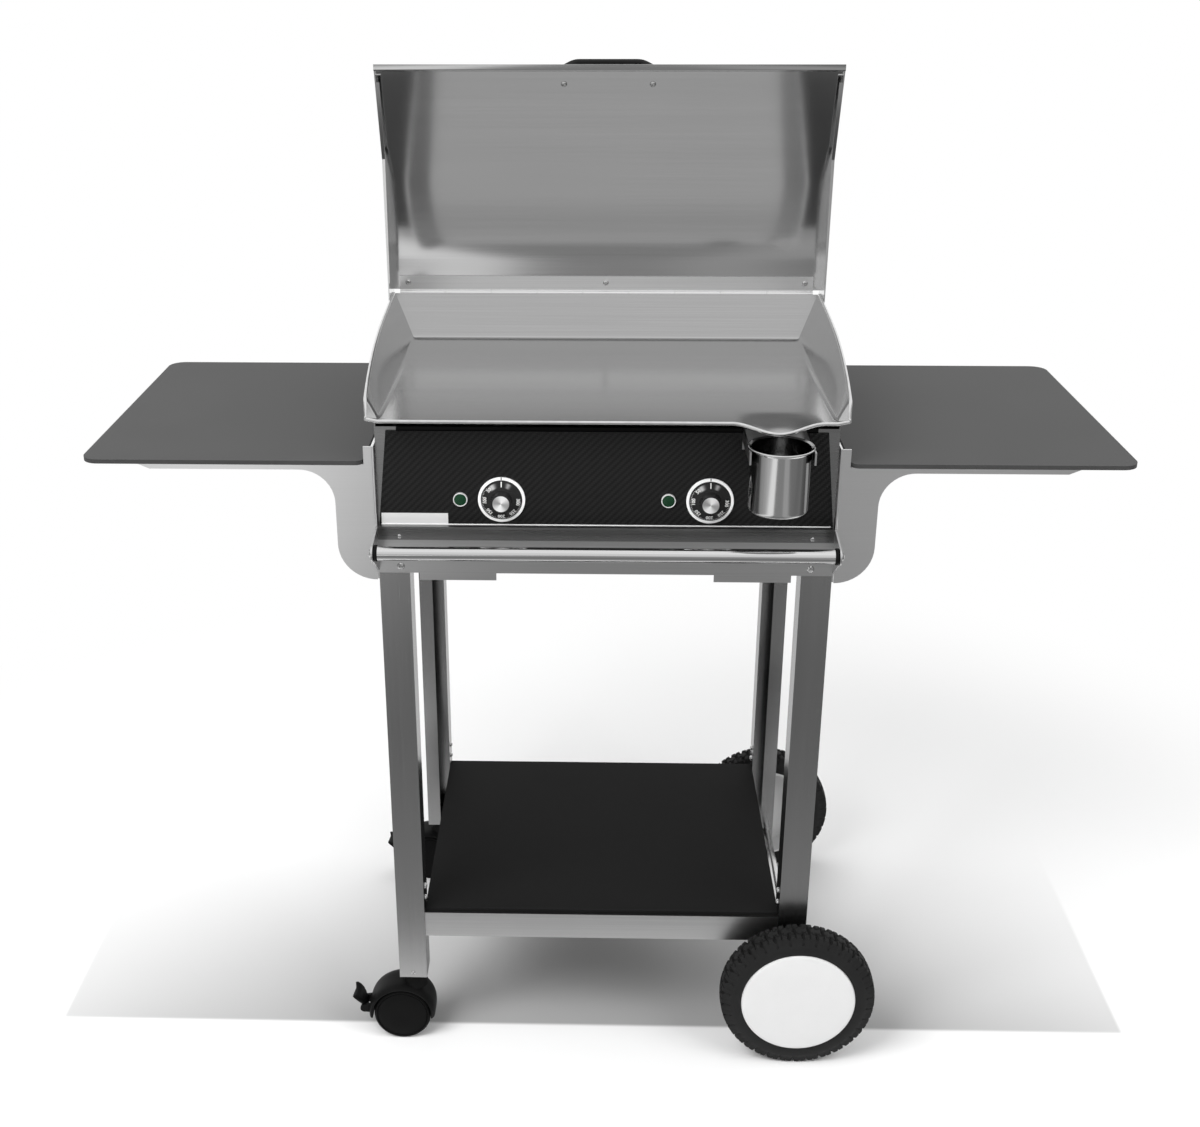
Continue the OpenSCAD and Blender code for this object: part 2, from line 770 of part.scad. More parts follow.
module lid_cheek_left() { mirror([1, 0, 0]) lid_cheek(); }
// Places a shape at the grip: its own Y points out of the sheet and its Z runs up the sheet
module at_grip() {
    spot = lid_end - grip_back * lid_dir + lid_t * lid_out;
    translate([0, spot[0], spot[1]]) rotate([lid_front_lean, 0, 0]) children();
}
module lid_handle() {
    color("black") at_grip() translate([0, 0, -grip_thick / 2]) difference() {
        linear_extrude(height = grip_thick) difference() {
            polygon([[-grip_len / 2, 0], [grip_len / 2, 0], [grip_len / 2, grip_off - grip_bevel],
                [grip_len / 2 - grip_bevel, grip_off], [grip_bevel - grip_len / 2, grip_off],
                [-grip_len / 2, grip_off - grip_bevel]]);
            polygon([[post_w - grip_len / 2, -over], [grip_len / 2 - post_w, -over],
                [grip_len / 2 - post_w, grip_off - grip_bar - grip_bevel / 2],
                [grip_len / 2 - post_w - grip_bevel / 2, grip_off - grip_bar],
                [grip_bevel / 2 + post_w - grip_len / 2, grip_off - grip_bar],
                [post_w - grip_len / 2, grip_off - grip_bar - grip_bevel / 2]]);
        }
    }
}
module pan_head(r, h) { cylinder(r1 = r, r2 = head_top_share * r, h = h); }
module lid_screws() {
    color("silver") {
        for (x = [-grip_screws / 2, grip_screws / 2]) at_grip() translate([x, -lid_t, 0]) rotate([90, 0, 0])
            pan_head(screw_head_r, screw_head_h);
        for (x = [leaf_screw_in - hinge_half, 0, hinge_half - leaf_screw_in])
            translate([x, lid_y - leaf_t, hinge_z + leaf_screw_up]) rotate([90, 0, 0])
                pan_head(screw_head_r, screw_head_h);
    }
}
// Hinge: the knuckles alternate along one pin
module knuckle_row(odd) {
    for (i = [0:knuckles - 1]) if ((i % 2 == 1) == odd)
        rod_x(knuckle_r, [-hinge_half + i * knuckle_pitch + knuckle_gap / 2, hinge_y, hinge_z],
            knuckle_pitch - knuckle_gap);
}
module other_knuckles(odd) {
    for (i = [0:knuckles - 1]) if ((i % 2 == 1) != odd)
        rod_x(knuckle_r + clear, [-hinge_half + i * knuckle_pitch - knuckle_gap / 2, hinge_y, hinge_z],
            knuckle_pitch + knuckle_gap);
}
module hinge_leaf_lid() {
    color("silver") difference() {
        union() {
            knuckle_row(true);
            block([-hinge_half, lid_y - leaf_t, hinge_z], [hinge_half, lid_y, hinge_z + leaf_up]);
        }
        other_knuckles(true);
        rod_x(pin_r + fit, [-hinge_half - over, hinge_y, hinge_z], 2 * hinge_half + 2 * over);
    }
}
// A point down the rear wall's outer face, standing off it
function down_wall(down, off) =
    [wall_out_y - down * sin(lean_a) + off * cos(lean_a),
        wall_top_z - down * cos(lean_a) - off * sin(lean_a)];
module hinge_leaf_plate() {
    color("silver") difference() {
        union() {
            knuckle_row(false);
            sheet_yz(-hinge_half, 2 * hinge_half) polygon([down_wall(leaf_down, 0), down_wall(leaf_below, 0),
                [hinge_y, hinge_z - knuckle_r / 3], [hinge_y, hinge_z - knuckle_r + soft / 2],
                down_wall(leaf_below + 2 * leaf_t, leaf_t), down_wall(leaf_down, leaf_t)]);
        }
        other_knuckles(false);
        rod_x(pin_r, [-hinge_half - over, hinge_y, hinge_z], 2 * hinge_half + 2 * over);
    }
}
module hinge_pin() {
    color("gray") rod_x(pin_r, [-hinge_half, hinge_y, hinge_z], 2 * hinge_half);
}

// Trolley frame
// One leg at the front left: its web faces the front and its lips face the rear
module leg(foot, drilled) {
    x0 = -leg_half;
    x1 = leg_w - leg_half;
    y1 = front_y + leg_w;
    color("silver") difference() {
        block([x0, front_y, foot], [x1, y1, leg_top_z]);
        block([x0 + leg_t, front_y + leg_t, foot - over], [x1 - leg_t, y1 - leg_t, leg_top_z + over]);
        block([x0 + leg_lip, y1 - leg_t - over, foot - over], [x1 - leg_t, y1 + over, leg_top_z + over]);
        rod_y(bolt_r / 2, [-bolt_x, front_y - over, frame_z - bolt_drop], leg_t + 2 * over);
        if (drilled) rod_y(axle_r, [-wheel_x, front_y - over, wheel_r], leg_w + 2 * over);
    }
}
module leg_front_left() { leg(leg_foot_z, false); }
module leg_rear_left() { mirror([0, 1, 0]) leg(leg_foot_z, false); }
module leg_front_right() { mirror([1, 0, 0]) leg(leg_wheel_foot_z, true); }
module leg_rear_right() { mirror([1, 0, 0]) mirror([0, 1, 0]) leg(leg_wheel_foot_z, true); }
module apron_sheet() {
    difference() {
        union() {
            sheet_xz(apron_front, apron_t) union() {
                polygon([[-wing_x, apron_z], [wing_x, apron_z], [wing_x, frame_z], [-wing_x, frame_z]]);
                for (s = [-1, 1]) polygon([[s * tab_near, apron_z - tab_h], [s * tab_far, apron_z - tab_h],
                    [s * tab_far, frame_z - soft], [s * tab_near, frame_z - soft]]);
            }
            block([-wing_x, apron_front, leg_top_z], [wing_x, apron_front + ledge_d, frame_z]);
        }
        for (x = [-bolt_x, bolt_x])
            rod_y(bolt_r / 2, [x, apron_front - over, frame_z - bolt_drop], apron_t + 2 * over);
    }
}
module front_apron() {
    color("silver") union() {
        apron_sheet();
        both_sides() sheet_yz(wing_x, apron_t) difference() {
            union() {
                polygon([[front_y, frame_z], [apron_front - soft, frame_z], [bar_y, bar_z + wing_r],
                    [bar_y, bar_z - wing_r], [apron_front - soft, frame_z - wing_tail],
                    [front_y, frame_z - wing_tail]]);
                translate([bar_y, bar_z]) circle(r = wing_r);
            }
            translate([bar_y, bar_z]) circle(r = bar_stud_r);
        }
    }
}
module rear_apron() { color("silver") mirror([0, 1, 0]) apron_sheet(); }
module side_rails() {
    inner = rear_y - leg_w;
    color("silver") both_sides() {
        block([leg_half - apron_t, -inner, frame_z - side_rail_h], [leg_half, inner, frame_z]);
        block([leg_half - ledge_d, -inner, frame_z - apron_t], [leg_half, inner, frame_z]);
    }
}
module towel_bar() {
    color("silver") difference() {
        rod_x(bar_r, [-bar_half, bar_y, bar_z], 2 * bar_half);
        rod_x(bar_bore_r, [-bar_half - over, bar_y, bar_z], 2 * bar_half + 2 * over);
    }
}
module bar_caps() {
    color("black") both_sides() difference() {
        union() {
            rod_x(bar_r + cap_lip_r, [bar_half, bar_y, bar_z], cap_l);
            rod_x(bar_bore_r, [bar_half - 2 * cap_l, bar_y, bar_z], 3 * cap_l);
        }
        rod_x(bar_stud_r, [bar_half - 3 * cap_l, bar_y, bar_z], 5 * cap_l);
    }
}
module bar_screws() {
    color("silver") both_sides() {
        rod_x(bar_stud_r, [bar_half - cap_l, bar_y, bar_z], wing_x + apron_t - bar_half + cap_l);
        translate([wing_x + apron_t, bar_y, bar_z]) rotate([0, 90, 0]) pan_head(bar_screw_r, bar_screw_h);
    }
}
module lower_shelf() {
    color("#222222") block([-low_half, low_front + 2 * low_rail_t, low_rail_top],
        [low_half, low_rear, low_shelf_z]);
}
module lower_rail(y, sign) {
    color("silver") {
        block([-low_half - shelf_fit, y, low_rail_top - low_rail_h],
            [low_half + shelf_fit, y + low_rail_t, low_rail_top]);
        block([-low_half - shelf_fit, sign > 0 ? y : y - low_flange, low_rail_top - low_rail_t],
            [low_half + shelf_fit, sign > 0 ? y + low_flange : y + low_rail_t, low_rail_top]);
    }
}
module lower_rail_front() { lower_rail(low_front, 1); }
module lower_rail_rear() { lower_rail(low_rear - low_rail_t, -1); }
module side_shelf() {
    front = front_y - shelf_over;
    rear = rear_y + shelf_over;
    translate([0, 0, shelf_under]) linear_extrude(height = shelf_t) polygon(concat(
        arc([shelf_in + shelf_inner_r, front + shelf_inner_r], shelf_inner_r, 180, 270),
        arc([shelf_out - shelf_r, front + shelf_r], shelf_r, 270, 360),
        arc([shelf_out - shelf_r, rear - shelf_r], shelf_r, 0, 90),
        arc([shelf_in + shelf_inner_r, rear - shelf_inner_r], shelf_inner_r, 90, 180)));
}
module side_shelf_right() { color("#444444") side_shelf(); }
module side_shelf_left() { color("#444444") mirror([1, 0, 0]) side_shelf(); }
module gusset() {
    hollow = [gusset_out + gusset_r, arm_z - gusset_r];
    sheet_xz(apron_front, apron_t) polygon(concat(
        [[gusset_x, ear_z], [gusset_x + shelf_gap - soft, ear_z], [gusset_x + shelf_gap - soft, shelf_under],
            [arm_end, shelf_under], [arm_end, shelf_under - soft], [arm_end - arm_nose, arm_z]],
        arc(hollow, gusset_r, 90, 180),
        arc([gusset_x, gusset_foot_z + gusset_foot_r], gusset_foot_r, 0, -90)));
    block([gusset_x, apron_front, shelf_under - apron_t],
        [arm_end - arm_nose, front_y + gusset_flange, shelf_under]);
    block([leg_half, front_y + soft, gusset_foot_z], [gusset_x, front_y + gusset_flange, ear_z]);
    block([leg_half, apron_front + apron_t / 2, frame_z + ledge_d], [gusset_x, front_y + 2 * soft, ear_z]);
}
module gussets_right() { color("silver") both_ends() gusset(); }
module gussets_left() { color("silver") mirror([1, 0, 0]) both_ends() gusset(); }
module frame_bolts() {
    flange_y = front_y + gusset_flange / 2 + leg_t;
    color("lightgray") both_sides() {
        both_ends() {
            translate([bolt_x, apron_front, frame_z - bolt_drop]) rotate([90, 0, 0])
                pan_head(bolt_head_r, bolt_head_h);
            rod_y(bolt_r / 2, [bolt_x, apron_front, frame_z - bolt_drop], apron_t + leg_t);
            for (z = [gusset_foot_z + leg_w / 2, leg_top_z - leg_w / 2])
                translate([gusset_x, flange_y, z]) rotate([0, 90, 0]) pan_head(bolt_head_r, bolt_head_h);
        }
        translate([bolt_x, skirt_front, frame_z - small_screw_drop]) rotate([90, 0, 0])
            pan_head(small_screw_r, small_screw_r / 2);
        rod_y(small_screw_r / 2, [bolt_x, skirt_front, frame_z - small_screw_drop], case_t);
        both_ends() for (up = [low_bolt_up, low_bolt_up + low_bolt_pitch])
            translate([leg_half - leg_w, rear_y - leg_w / 2, low_shelf_z + up])
                rotate([0, -90, 0]) pan_head(side_bolt_r, bolt_head_h);
    }
    color("lightgray") both_ends() translate([caster_x, front_y, leg_foot_z + foot_screw_up])
        rotate([90, 0, 0]) pan_head(small_screw_r, small_screw_r / 2);
}

// Big wheels
module axle() {
    color("gray") union() {
        rod_y(axle_r, [wheel_x, front_y - wheel_gap - wheel_w + axle_tail, wheel_r],
            frame_d + 2 * (wheel_gap + wheel_w - axle_tail));
        both_ends() rod_y(collar_r, [wheel_x, rear_y, wheel_r], wheel_gap - clear);
    }
}
// A wheel is turned about Z with its face at the top, then laid with its face to the front
module wheel_at() {
    translate([wheel_x, front_y - wheel_gap, wheel_r]) rotate([90, 0, 0]) children();
}
module tyre() {
    wheel_at() rotate_extrude() polygon(concat(
        [[tyre_in_r, 0], [tyre_side_r, 0]],
        arc([wheel_r - tyre_shoulder, tyre_shoulder], tyre_shoulder, -60, 0, 5),
        arc([wheel_r - tyre_shoulder, wheel_w - tyre_shoulder], tyre_shoulder, 0, 60, 5),
        [[tyre_side_r, wheel_w], [tyre_in_r, wheel_w]]));
}
module hub() {
    wheel_at() difference() {
        rotate_extrude() polygon([
            [0, wheel_w + disc_dome], [disc_r / 2, wheel_w + dome_share * disc_dome],
            [disc_r - soft, wheel_w + soft / 2],
            [tyre_in_r, wheel_w - soft], [tyre_in_r, 0], [tyre_in_r - disc_web, 0],
            [tyre_in_r - disc_web, disc_recess], [boss_r, disc_recess], [boss_r, 0], [0, 0]]);
        translate([0, 0, -over]) cylinder(r = axle_r + fit, h = wheel_w - axle_tail + over + clear);
    }
}
module tyre_front() { color("#111111") tyre(); }
module hub_front() { color("white") hub(); }
module tyre_rear() { color("#111111") mirror([0, 1, 0]) tyre(); }
module hub_rear() { color("white") mirror([0, 1, 0]) hub(); }

// Casters, drawn at the rear left; the front one is the same caster moved forwards
module caster_spot() { translate([caster_axis_x, caster_y, caster_r]) children(); }
module caster_hood() {
    caster_spot() difference() {
        union() {
            rod_y(hood_r, [0, -caster_w / 2, 0], caster_w);
            rod_z(neck_r, [caster_trail, 0, caster_r / 2], leg_foot_z - caster_r * 1.5 - clear);
            rod_z(stem_r, [caster_trail, 0, caster_r], leg_foot_z - 2 * caster_r + stem_in);
            both_ends() block([-lever_x, lever_w / 2 + ear_gap, lever_up - lever_boss_r],
                [-hood_in_r, lever_w / 2 + ear_gap + ear_t, lever_up + lever_boss_r]);
            both_ends() rod_y(lever_boss_r, [-lever_x, lever_w / 2 + ear_gap, lever_up], ear_t);
        }
        both_ends() rod_y(hood_in_r, [0, caster_rib / 2, 0], caster_w);
        block([-hood_in_r + 2 * soft, -caster_w, -hood_r - over], [2 * hood_r, caster_w, -caster_rib]);
        block([-2 * hood_r, -caster_w, -hood_r - over], [-hood_in_r + 3 * soft, caster_w, -hood_low]);
    }
    caster_spot() both_ends() rod_y(caster_pin_r, [0, 0, 0], caster_w / 2 - soft);
    caster_spot() rod_y(lever_pin_r, [-lever_x, -lever_w / 2 - ear_gap - ear_t / 2, lever_up],
        lever_w + 2 * ear_gap + ear_t);
}
module caster_wheels() {
    caster_spot() both_ends() difference() {
        union() {
            translate([0, caster_rib / 2 + caster_gap, 0]) rotate([-90, 0, 0])
                cylinder(r = caster_r, h = caster_w / 2 - caster_rib / 2 - caster_gap - soft);
            translate([0, caster_w / 2 - soft, 0]) rotate([-90, 0, 0])
                cylinder(r1 = caster_r, r2 = caster_r - 2 * soft, h = soft);
        }
        rod_y(caster_pin_r + fit, [0, 0, 0], caster_w / 2 - soft + clear);
    }
}
module brake_lever() {
    lip = [-lever_x - lever_reach, lever_up + lever_rise];
    caster_spot() difference() {
        translate([0, -lever_w / 2, 0]) rotate([90, 0, 0]) mirror([0, 0, 1]) linear_extrude(height = lever_w)
            polygon([[-lever_x - lever_boss_r, lever_up], lip, lip + [lever_lip, -soft],
                [-lever_x - soft, lever_up + lever_bend],
                [-lever_x + lever_boss_r - soft, lever_up + lever_boss_r - soft],
                [-lever_x + lever_boss_r, lever_up], [-lever_x + 2 * soft, lever_up - lever_tail],
                [-lever_x - lever_boss_r / 2, lever_up - lever_tail + 4 * soft]]);
        rod_y(lever_pin_r + fit, [-lever_x, -lever_w / 2 - over, lever_up], lever_w + 2 * over);
    }
}
// Puts the origin in the middle of the whole object, seen from above
front_end = cup_y - cup_rim_r;
rear_end = rear_y + wheel_gap + wheel_w + disc_dome;
module placed() { translate([0, -(front_end + rear_end) / 2, 0]) children(); }
module to_front() { translate([0, -2 * caster_y, 0]) children(); }
module caster_sockets() {
    s = leg_w - 2 * leg_t;
    color("black") both_ends() difference() {
        block([caster_x - s / 2, caster_y - s / 2, leg_foot_z],
            [caster_x + s / 2, caster_y + s / 2, leg_foot_z + socket_h]);
        rod_z(stem_r + fit, [caster_x, caster_y, leg_foot_z - over], socket_h + 2 * over);
    }
}
module caster_hood_rear() { color("#1a1a1a") caster_hood(); }
module caster_wheels_rear() { color("#222222") caster_wheels(); }
module brake_lever_rear() { color("#1a1a1a") brake_lever(); }
module caster_hood_front() { color("#1a1a1a") to_front() caster_hood(); }
module caster_wheels_front() { color("#222222") to_front() caster_wheels(); }
module brake_lever_front() { color("#1a1a1a") to_front() brake_lever(); }

placed() griddle_plate();
placed() casing();
placed() control_panel();
placed() base_pan();
placed() heating_elements();
placed() element_clamps();
placed() thermostats();
placed() dial_rings();
placed() lamp_bezels();
placed() lamp_lenses();
placed() terminal_block();
placed() cable_gland();
placed() nameplate();
placed() cup_holder();
placed() grease_cup();
placed() knob_shaft(-dial_x);  // knob_shaft_left
placed() knob_skirt(-dial_x);  // knob_skirt_left
placed() knob_cap(-dial_x);  // knob_cap_left
placed() knob_shaft(dial_x);  // knob_shaft_right
placed() knob_skirt(dial_x);  // knob_skirt_right
placed() knob_cap(dial_x);  // knob_cap_right
placed() lid_sheet();
placed() lid_cheek_left();
placed() lid_cheek_right();
placed() lid_handle();
placed() lid_screws();
placed() hinge_leaf_lid();
placed() hinge_leaf_plate();
placed() hinge_pin();
placed() leg_front_left();
placed() leg_front_right();
placed() leg_rear_left();
placed() leg_rear_right();
placed() front_apron();
placed() rear_apron();
placed() side_rails();
placed() towel_bar();
placed() bar_caps();
placed() bar_screws();
placed() lower_shelf();
placed() lower_rail_front();
placed() lower_rail_rear();
placed() side_shelf_left();
placed() side_shelf_right();
placed() gussets_left();
placed() gussets_right();
placed() frame_bolts();
placed() axle();
placed() tyre_front();
placed() hub_front();
placed() tyre_rear();
placed() hub_rear();
placed() caster_sockets();
placed() caster_hood_front();
placed() caster_wheels_front();
placed() brake_lever_front();
placed() caster_hood_rear();
placed() caster_wheels_rear();
placed() brake_lever_rear();
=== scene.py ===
import math
import bmesh
import bpy
import numpy as np
from mathutils import Matrix, Vector


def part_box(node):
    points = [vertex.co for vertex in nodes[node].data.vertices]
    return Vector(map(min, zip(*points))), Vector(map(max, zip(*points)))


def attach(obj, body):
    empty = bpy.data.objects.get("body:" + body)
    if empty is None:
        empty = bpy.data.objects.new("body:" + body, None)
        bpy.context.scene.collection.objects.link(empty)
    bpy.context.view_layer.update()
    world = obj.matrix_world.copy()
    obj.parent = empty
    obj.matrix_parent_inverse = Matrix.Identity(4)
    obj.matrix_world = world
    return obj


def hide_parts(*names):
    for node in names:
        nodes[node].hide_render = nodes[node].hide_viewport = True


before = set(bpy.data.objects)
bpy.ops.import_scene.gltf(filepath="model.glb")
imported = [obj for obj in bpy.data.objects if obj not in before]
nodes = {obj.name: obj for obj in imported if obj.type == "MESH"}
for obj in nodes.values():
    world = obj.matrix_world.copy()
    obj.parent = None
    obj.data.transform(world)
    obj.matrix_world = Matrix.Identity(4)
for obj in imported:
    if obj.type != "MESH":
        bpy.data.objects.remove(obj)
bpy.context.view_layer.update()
scene = bpy.context.scene
print("frame loaded:", len(nodes), "nodes")


cameraSet = {
    "place": (-0.0132, -1.83097, 1.38636),
    "pitch": -22.95,  # degrees, down
    "yaw": -1.51,
    "roll": -0.12,
    "lens": 45.98,
    "sensor": 36,
    "shift": (0.0363, 0.0044),
    "farthest": 100,
}


def makeCamera(s):
    # Aimed by yaw and pitch, then rolled about its own line of sight.
    pitch, yaw, roll = (math.radians(s[k]) for k in ("pitch", "yaw", "roll"))
    level = math.cos(pitch)
    ahead = Vector((math.sin(yaw) * level, math.cos(yaw) * level, math.sin(pitch)))
    right = Vector((math.cos(yaw), -math.sin(yaw), 0))
    up = right.cross(ahead)
    cos, sin = math.cos(roll), math.sin(roll)
    right, up = right * cos + up * sin, up * cos - right * sin
    data = bpy.data.cameras.new("view")
    data.lens = s["lens"]
    data.sensor_width = s["sensor"]
    data.sensor_fit = "HORIZONTAL"
    data.shift_x, data.shift_y = s["shift"]
    data.clip_end = s["farthest"]
    eye = bpy.data.objects.new("view", data)
    turned = Matrix((right, up, -ahead)).transposed().to_4x4()
    eye.matrix_world = Matrix.Translation(s["place"]) @ turned
    scene.collection.objects.link(eye)
    scene.camera = eye


makeCamera(cameraSet)
scene.view_settings.view_transform = "Standard"
print("camera set")


class Wire:
    # A socket that can be used in sums: each operator adds a Math node.

    def __init__(self, board, socket):
        self.board = board
        self.socket = socket

    def maths(self, operation, *others, clamp=False):
        inputs = dict(enumerate((self,) + others))
        return self.board.node("ShaderNodeMath", {"operation": operation, "use_clamp": clamp}, inputs)

    def __add__(self, other):
        return self.maths("ADD", other)

    __radd__ = __add__

    def __sub__(self, other):
        return self.maths("SUBTRACT", other)

    def __rsub__(self, other):
        return self.maths("MULTIPLY", -1.0).maths("ADD", other)

    def __mul__(self, other):
        return self.maths("MULTIPLY", other)

    def __truediv__(self, other):
        return self.maths("DIVIDE", other)

    def __pow__(self, other):
        return self.maths("POWER", other)

    def size(self):
        return self.maths("ABSOLUTE")

    def step(self, low, high):
        # 0 up to low, 1 from high on, eased between them
        inputs = {0: self, 1: low, 2: high, 3: 0.0, 4: 1.0}
        return self.board.node("ShaderNodeMapRange", {"interpolation_type": "SMOOTHSTEP"}, inputs)

    def clip(self):
        return self.maths("ADD", 0.0, clamp=True)


class Board:
    # The node tree of a material or of the world.

    def __init__(self, owner, output="ShaderNodeOutputMaterial"):
        self.owner = owner
        owner.use_nodes = True
        self.tree = owner.node_tree
        self.tree.nodes.clear()
        self.output = self.tree.nodes.new(output)

    def node(self, kind, settings={}, inputs={}, out=0):
        made = self.tree.nodes.new(kind)
        for key, value in settings.items():
            setattr(made, key, value)
        for key, value in inputs.items():
            socket = made.inputs[key]
            if isinstance(value, Wire):
                self.tree.links.new(value.socket, socket)
            else:
                socket.default_value = value
        return Wire(self, made.outputs[out])

    def coords(self, kind="Object"):
        return self.node("ShaderNodeTexCoord", out=kind)

    def place(self, scale=(1, 1, 1), move=(0, 0, 0)):
        return self.node("ShaderNodeMapping", {}, {"Vector": self.coords(), "Scale": scale, "Location": move})

    def axes(self, vector=None):
        vector = vector or self.place()
        return [self.node("ShaderNodeSeparateXYZ", {}, {0: vector}, out=i) for i in range(3)]

    def around(self, centre):
        # X and Z measured from a centre, and the distance from it
        x, y, z = self.axes(self.place(move=(-centre[0], 0, -centre[1])))
        return x, z, (x * x + z * z).maths("SQRT")

    def noise(self, scale, detail=2.0, rough=0.5, vector=None):
        inputs = {"Vector": vector or self.place(), "Scale": scale, "Detail": detail, "Roughness": rough}
        return self.node("ShaderNodeTexNoise", {}, inputs)

    def ray(self, kind):
        return self.node("ShaderNodeLightPath", out="Is " + kind + " Ray")

    def mirrored(self):
        # 1 for what metal and glass show
        return (self.ray("Glossy") + self.ray("Transmission")).clip()

    def mix(self, factor, a, b):
        return self.node("ShaderNodeMix", {"data_type": "RGBA"}, {0: factor, 6: a, 7: b}, out=2)

    def grey(self, wire, low, high):
        return self.mix(wire, grey(low), grey(high))

    def bump(self, height, strength, distance):
        return self.node("ShaderNodeBump", {}, {"Height": height, "Strength": strength, "Distance": distance})

    def glow(self, colour):
        return self.node("ShaderNodeEmission", {}, {"Color": colour, "Strength": 1.0})

    def blend(self, factor, a, b):
        return self.node("ShaderNodeMixShader", {}, {0: factor, 1: a, 2: b})

    def finish(self, **sockets):
        inputs = {key.replace("_", " "): value for key, value in sockets.items()}
        return self.end(self.node("ShaderNodeBsdfPrincipled", {}, inputs))

    def end(self, shader):
        self.tree.links.new(shader.socket, self.output.inputs["Surface"])
        return self.owner


def grey(value):
    return (value, value, value, 1.0)


grainSet = {
    "along": 1.2, "across": 260, "streakShare": 0.12,
    "lines": (3.0, 3.0, 0.65), "streaks": (1.6, 2.0, 0.5), "cloud": 5.0,  # scale, detail and roughness
    "shares": (0.55, 0.30, 0.15), "tones": (0.28, 0.74), "deep": 0.0003,
    "stripFade": 0.0005, "flank": (0.45, 0.90), "inwards": (0.5, 0.8), "cloudRough": 0.05, "streakBump": 0.6,
}
softSet = {"tones": (0.3, 0.7), "deep": 0.0002}  # for the finishes without grain


def brushedSteel(b, s, g=grainSet):
    # Grain lines run along one axis: a noise squeezed across the grain and drawn out along it.
    scale = [g["along"] if axis == s["grain"] else g["across"] for axis in "xyz"]
    lines = b.noise(*g["lines"], b.place(scale))
    streaks = b.noise(*g["streaks"], b.place([g["streakShare"] * v for v in scale]))
    cloud = b.noise(g["cloud"])
    tone = (lines * g["shares"][0] + streaks * g["shares"][1] + cloud * g["shares"][2]).step(*g["tones"])
    shade = b.grey(tone, s["tone"] * (1 - s["streak"]), s["tone"] * (1 + s["streak"]))
    if "strip" in s:  # a dark strip of painted shade under the griddle plate's front, given by its least height, its farthest Y and its half width
        x, y, z = b.axes()
        high, far, half = s["strip"]
        fade = g["stripFade"]
        inside = (1 - y.step(far, far + fade)) * (1 - x.size().step(half, half + fade))
        shade = b.mix(z.step(high - fade, high) * inside, shade, grey(s["stripTone"]))
    if "flanks" in s:  # painted shade: faces turned to the sides are painted darker
        sideways = b.axes(b.coords("Normal"))[0].size()
        shade = b.mix(sideways.step(*g["flank"]), shade, grey(s["tone"] * s["flanks"]))
    if "inner" in s:  # painted shade: faces turned to the middle of the trolley are painted darker
        inwards = b.axes(b.coords("Normal"))[0] * b.axes()[0].maths("SIGN") * -1.0
        shade = b.mix(inwards.step(*g["inwards"]), shade, grey(s["tone"] * s["inner"]))
    return b.finish(
        Base_Color=shade,
        Metallic=1.0,
        Roughness=lines * s["spread"] + (s["rough"] - s["spread"] * 0.5) + (cloud - 0.5) * g["cloudRough"],
        Normal=b.bump(lines + streaks * g["streakBump"], s["bump"], g["deep"]),
    )


def polishedSteel(b, s):
    # A mirror with a faint cloud in its tone.
    cloud = b.noise(3.0, 3.0, vector=b.place((40, 40, 40)))
    return b.finish(
        Base_Color=b.grey(cloud.step(*softSet["tones"]), s["tone"] * 0.94, s["tone"] * 1.05),
        Metallic=s.get("metal", 1.0),
        Roughness=cloud * 0.08 + s["rough"],
        Normal=b.bump(cloud, 0.05, softSet["deep"]),
    )


def wovenPanel(b, s):
    # A two-over-two weave: each cell is shaded along its own yarn, stepped by one cell a row.
    x, y, z = b.axes(b.place((1 / s["cell"],) * 3))
    shift = x.maths("FLOOR") - z.maths("FLOOR")
    over = shift.maths("MODULO", 4.0).maths("ADD", 4.0).maths("MODULO", 4.0).maths("LESS_THAN", 1.5)
    warp, weft = ((1 - part) * part * 4 for part in (z.maths("FRACT"), x.maths("FRACT")))
    height = over * warp + (1 - over) * weft
    tone = over * 0.55 + height * 0.45
    dust = b.noise(220.0)
    mixed = (tone * (1 - s["dust"]) + dust * s["dust"]).clip()
    return b.finish(
        Base_Color=b.grey(mixed, s["tone"] * s["low"], s["tone"] * s["high"]),
        Roughness=height * s["crest"] + s["rough"],
        Specular_IOR_Level=s["specular"],
        Normal=b.bump(height, s["bump"], s["deep"]),
    )


def laminate(b, s):
    # A dull board: fine grain over broad patches.
    fine = b.noise(900.0, 3.0)
    broad = b.noise(9.0, 3.0)
    return b.finish(
        Base_Color=b.grey((fine * 0.4 + broad * 0.6).step(*softSet["tones"]), s["tone"] * 0.88, s["tone"] * 1.12),
        Roughness=broad * 0.12 + s["rough"] - 0.06,
        Specular_IOR_Level=s["specular"],
        Normal=b.bump(fine, s["bump"], softSet["deep"]),
    )


def mouldedPlastic(b, s):
    # One colour, a little darker and paler in patches, over a fine grain.
    grain = b.noise(1400.0)
    broad = b.noise(30.0)
    vary = s.get("vary", 0.13)
    low, high = (tuple(min(1.0, c * share) for c in s["colour"]) + (1,) for share in (1 - vary, 1 + vary))
    return b.finish(
        Base_Color=b.mix((grain * 0.5 + broad * 0.5).step(*softSet["tones"]), low, high),
        Roughness=broad * 0.1 + s["rough"] - 0.05,
        Specular_IOR_Level=s.get("specular", 0.5),
        Normal=b.bump(grain, s["bump"], softSet["deep"]),
    )


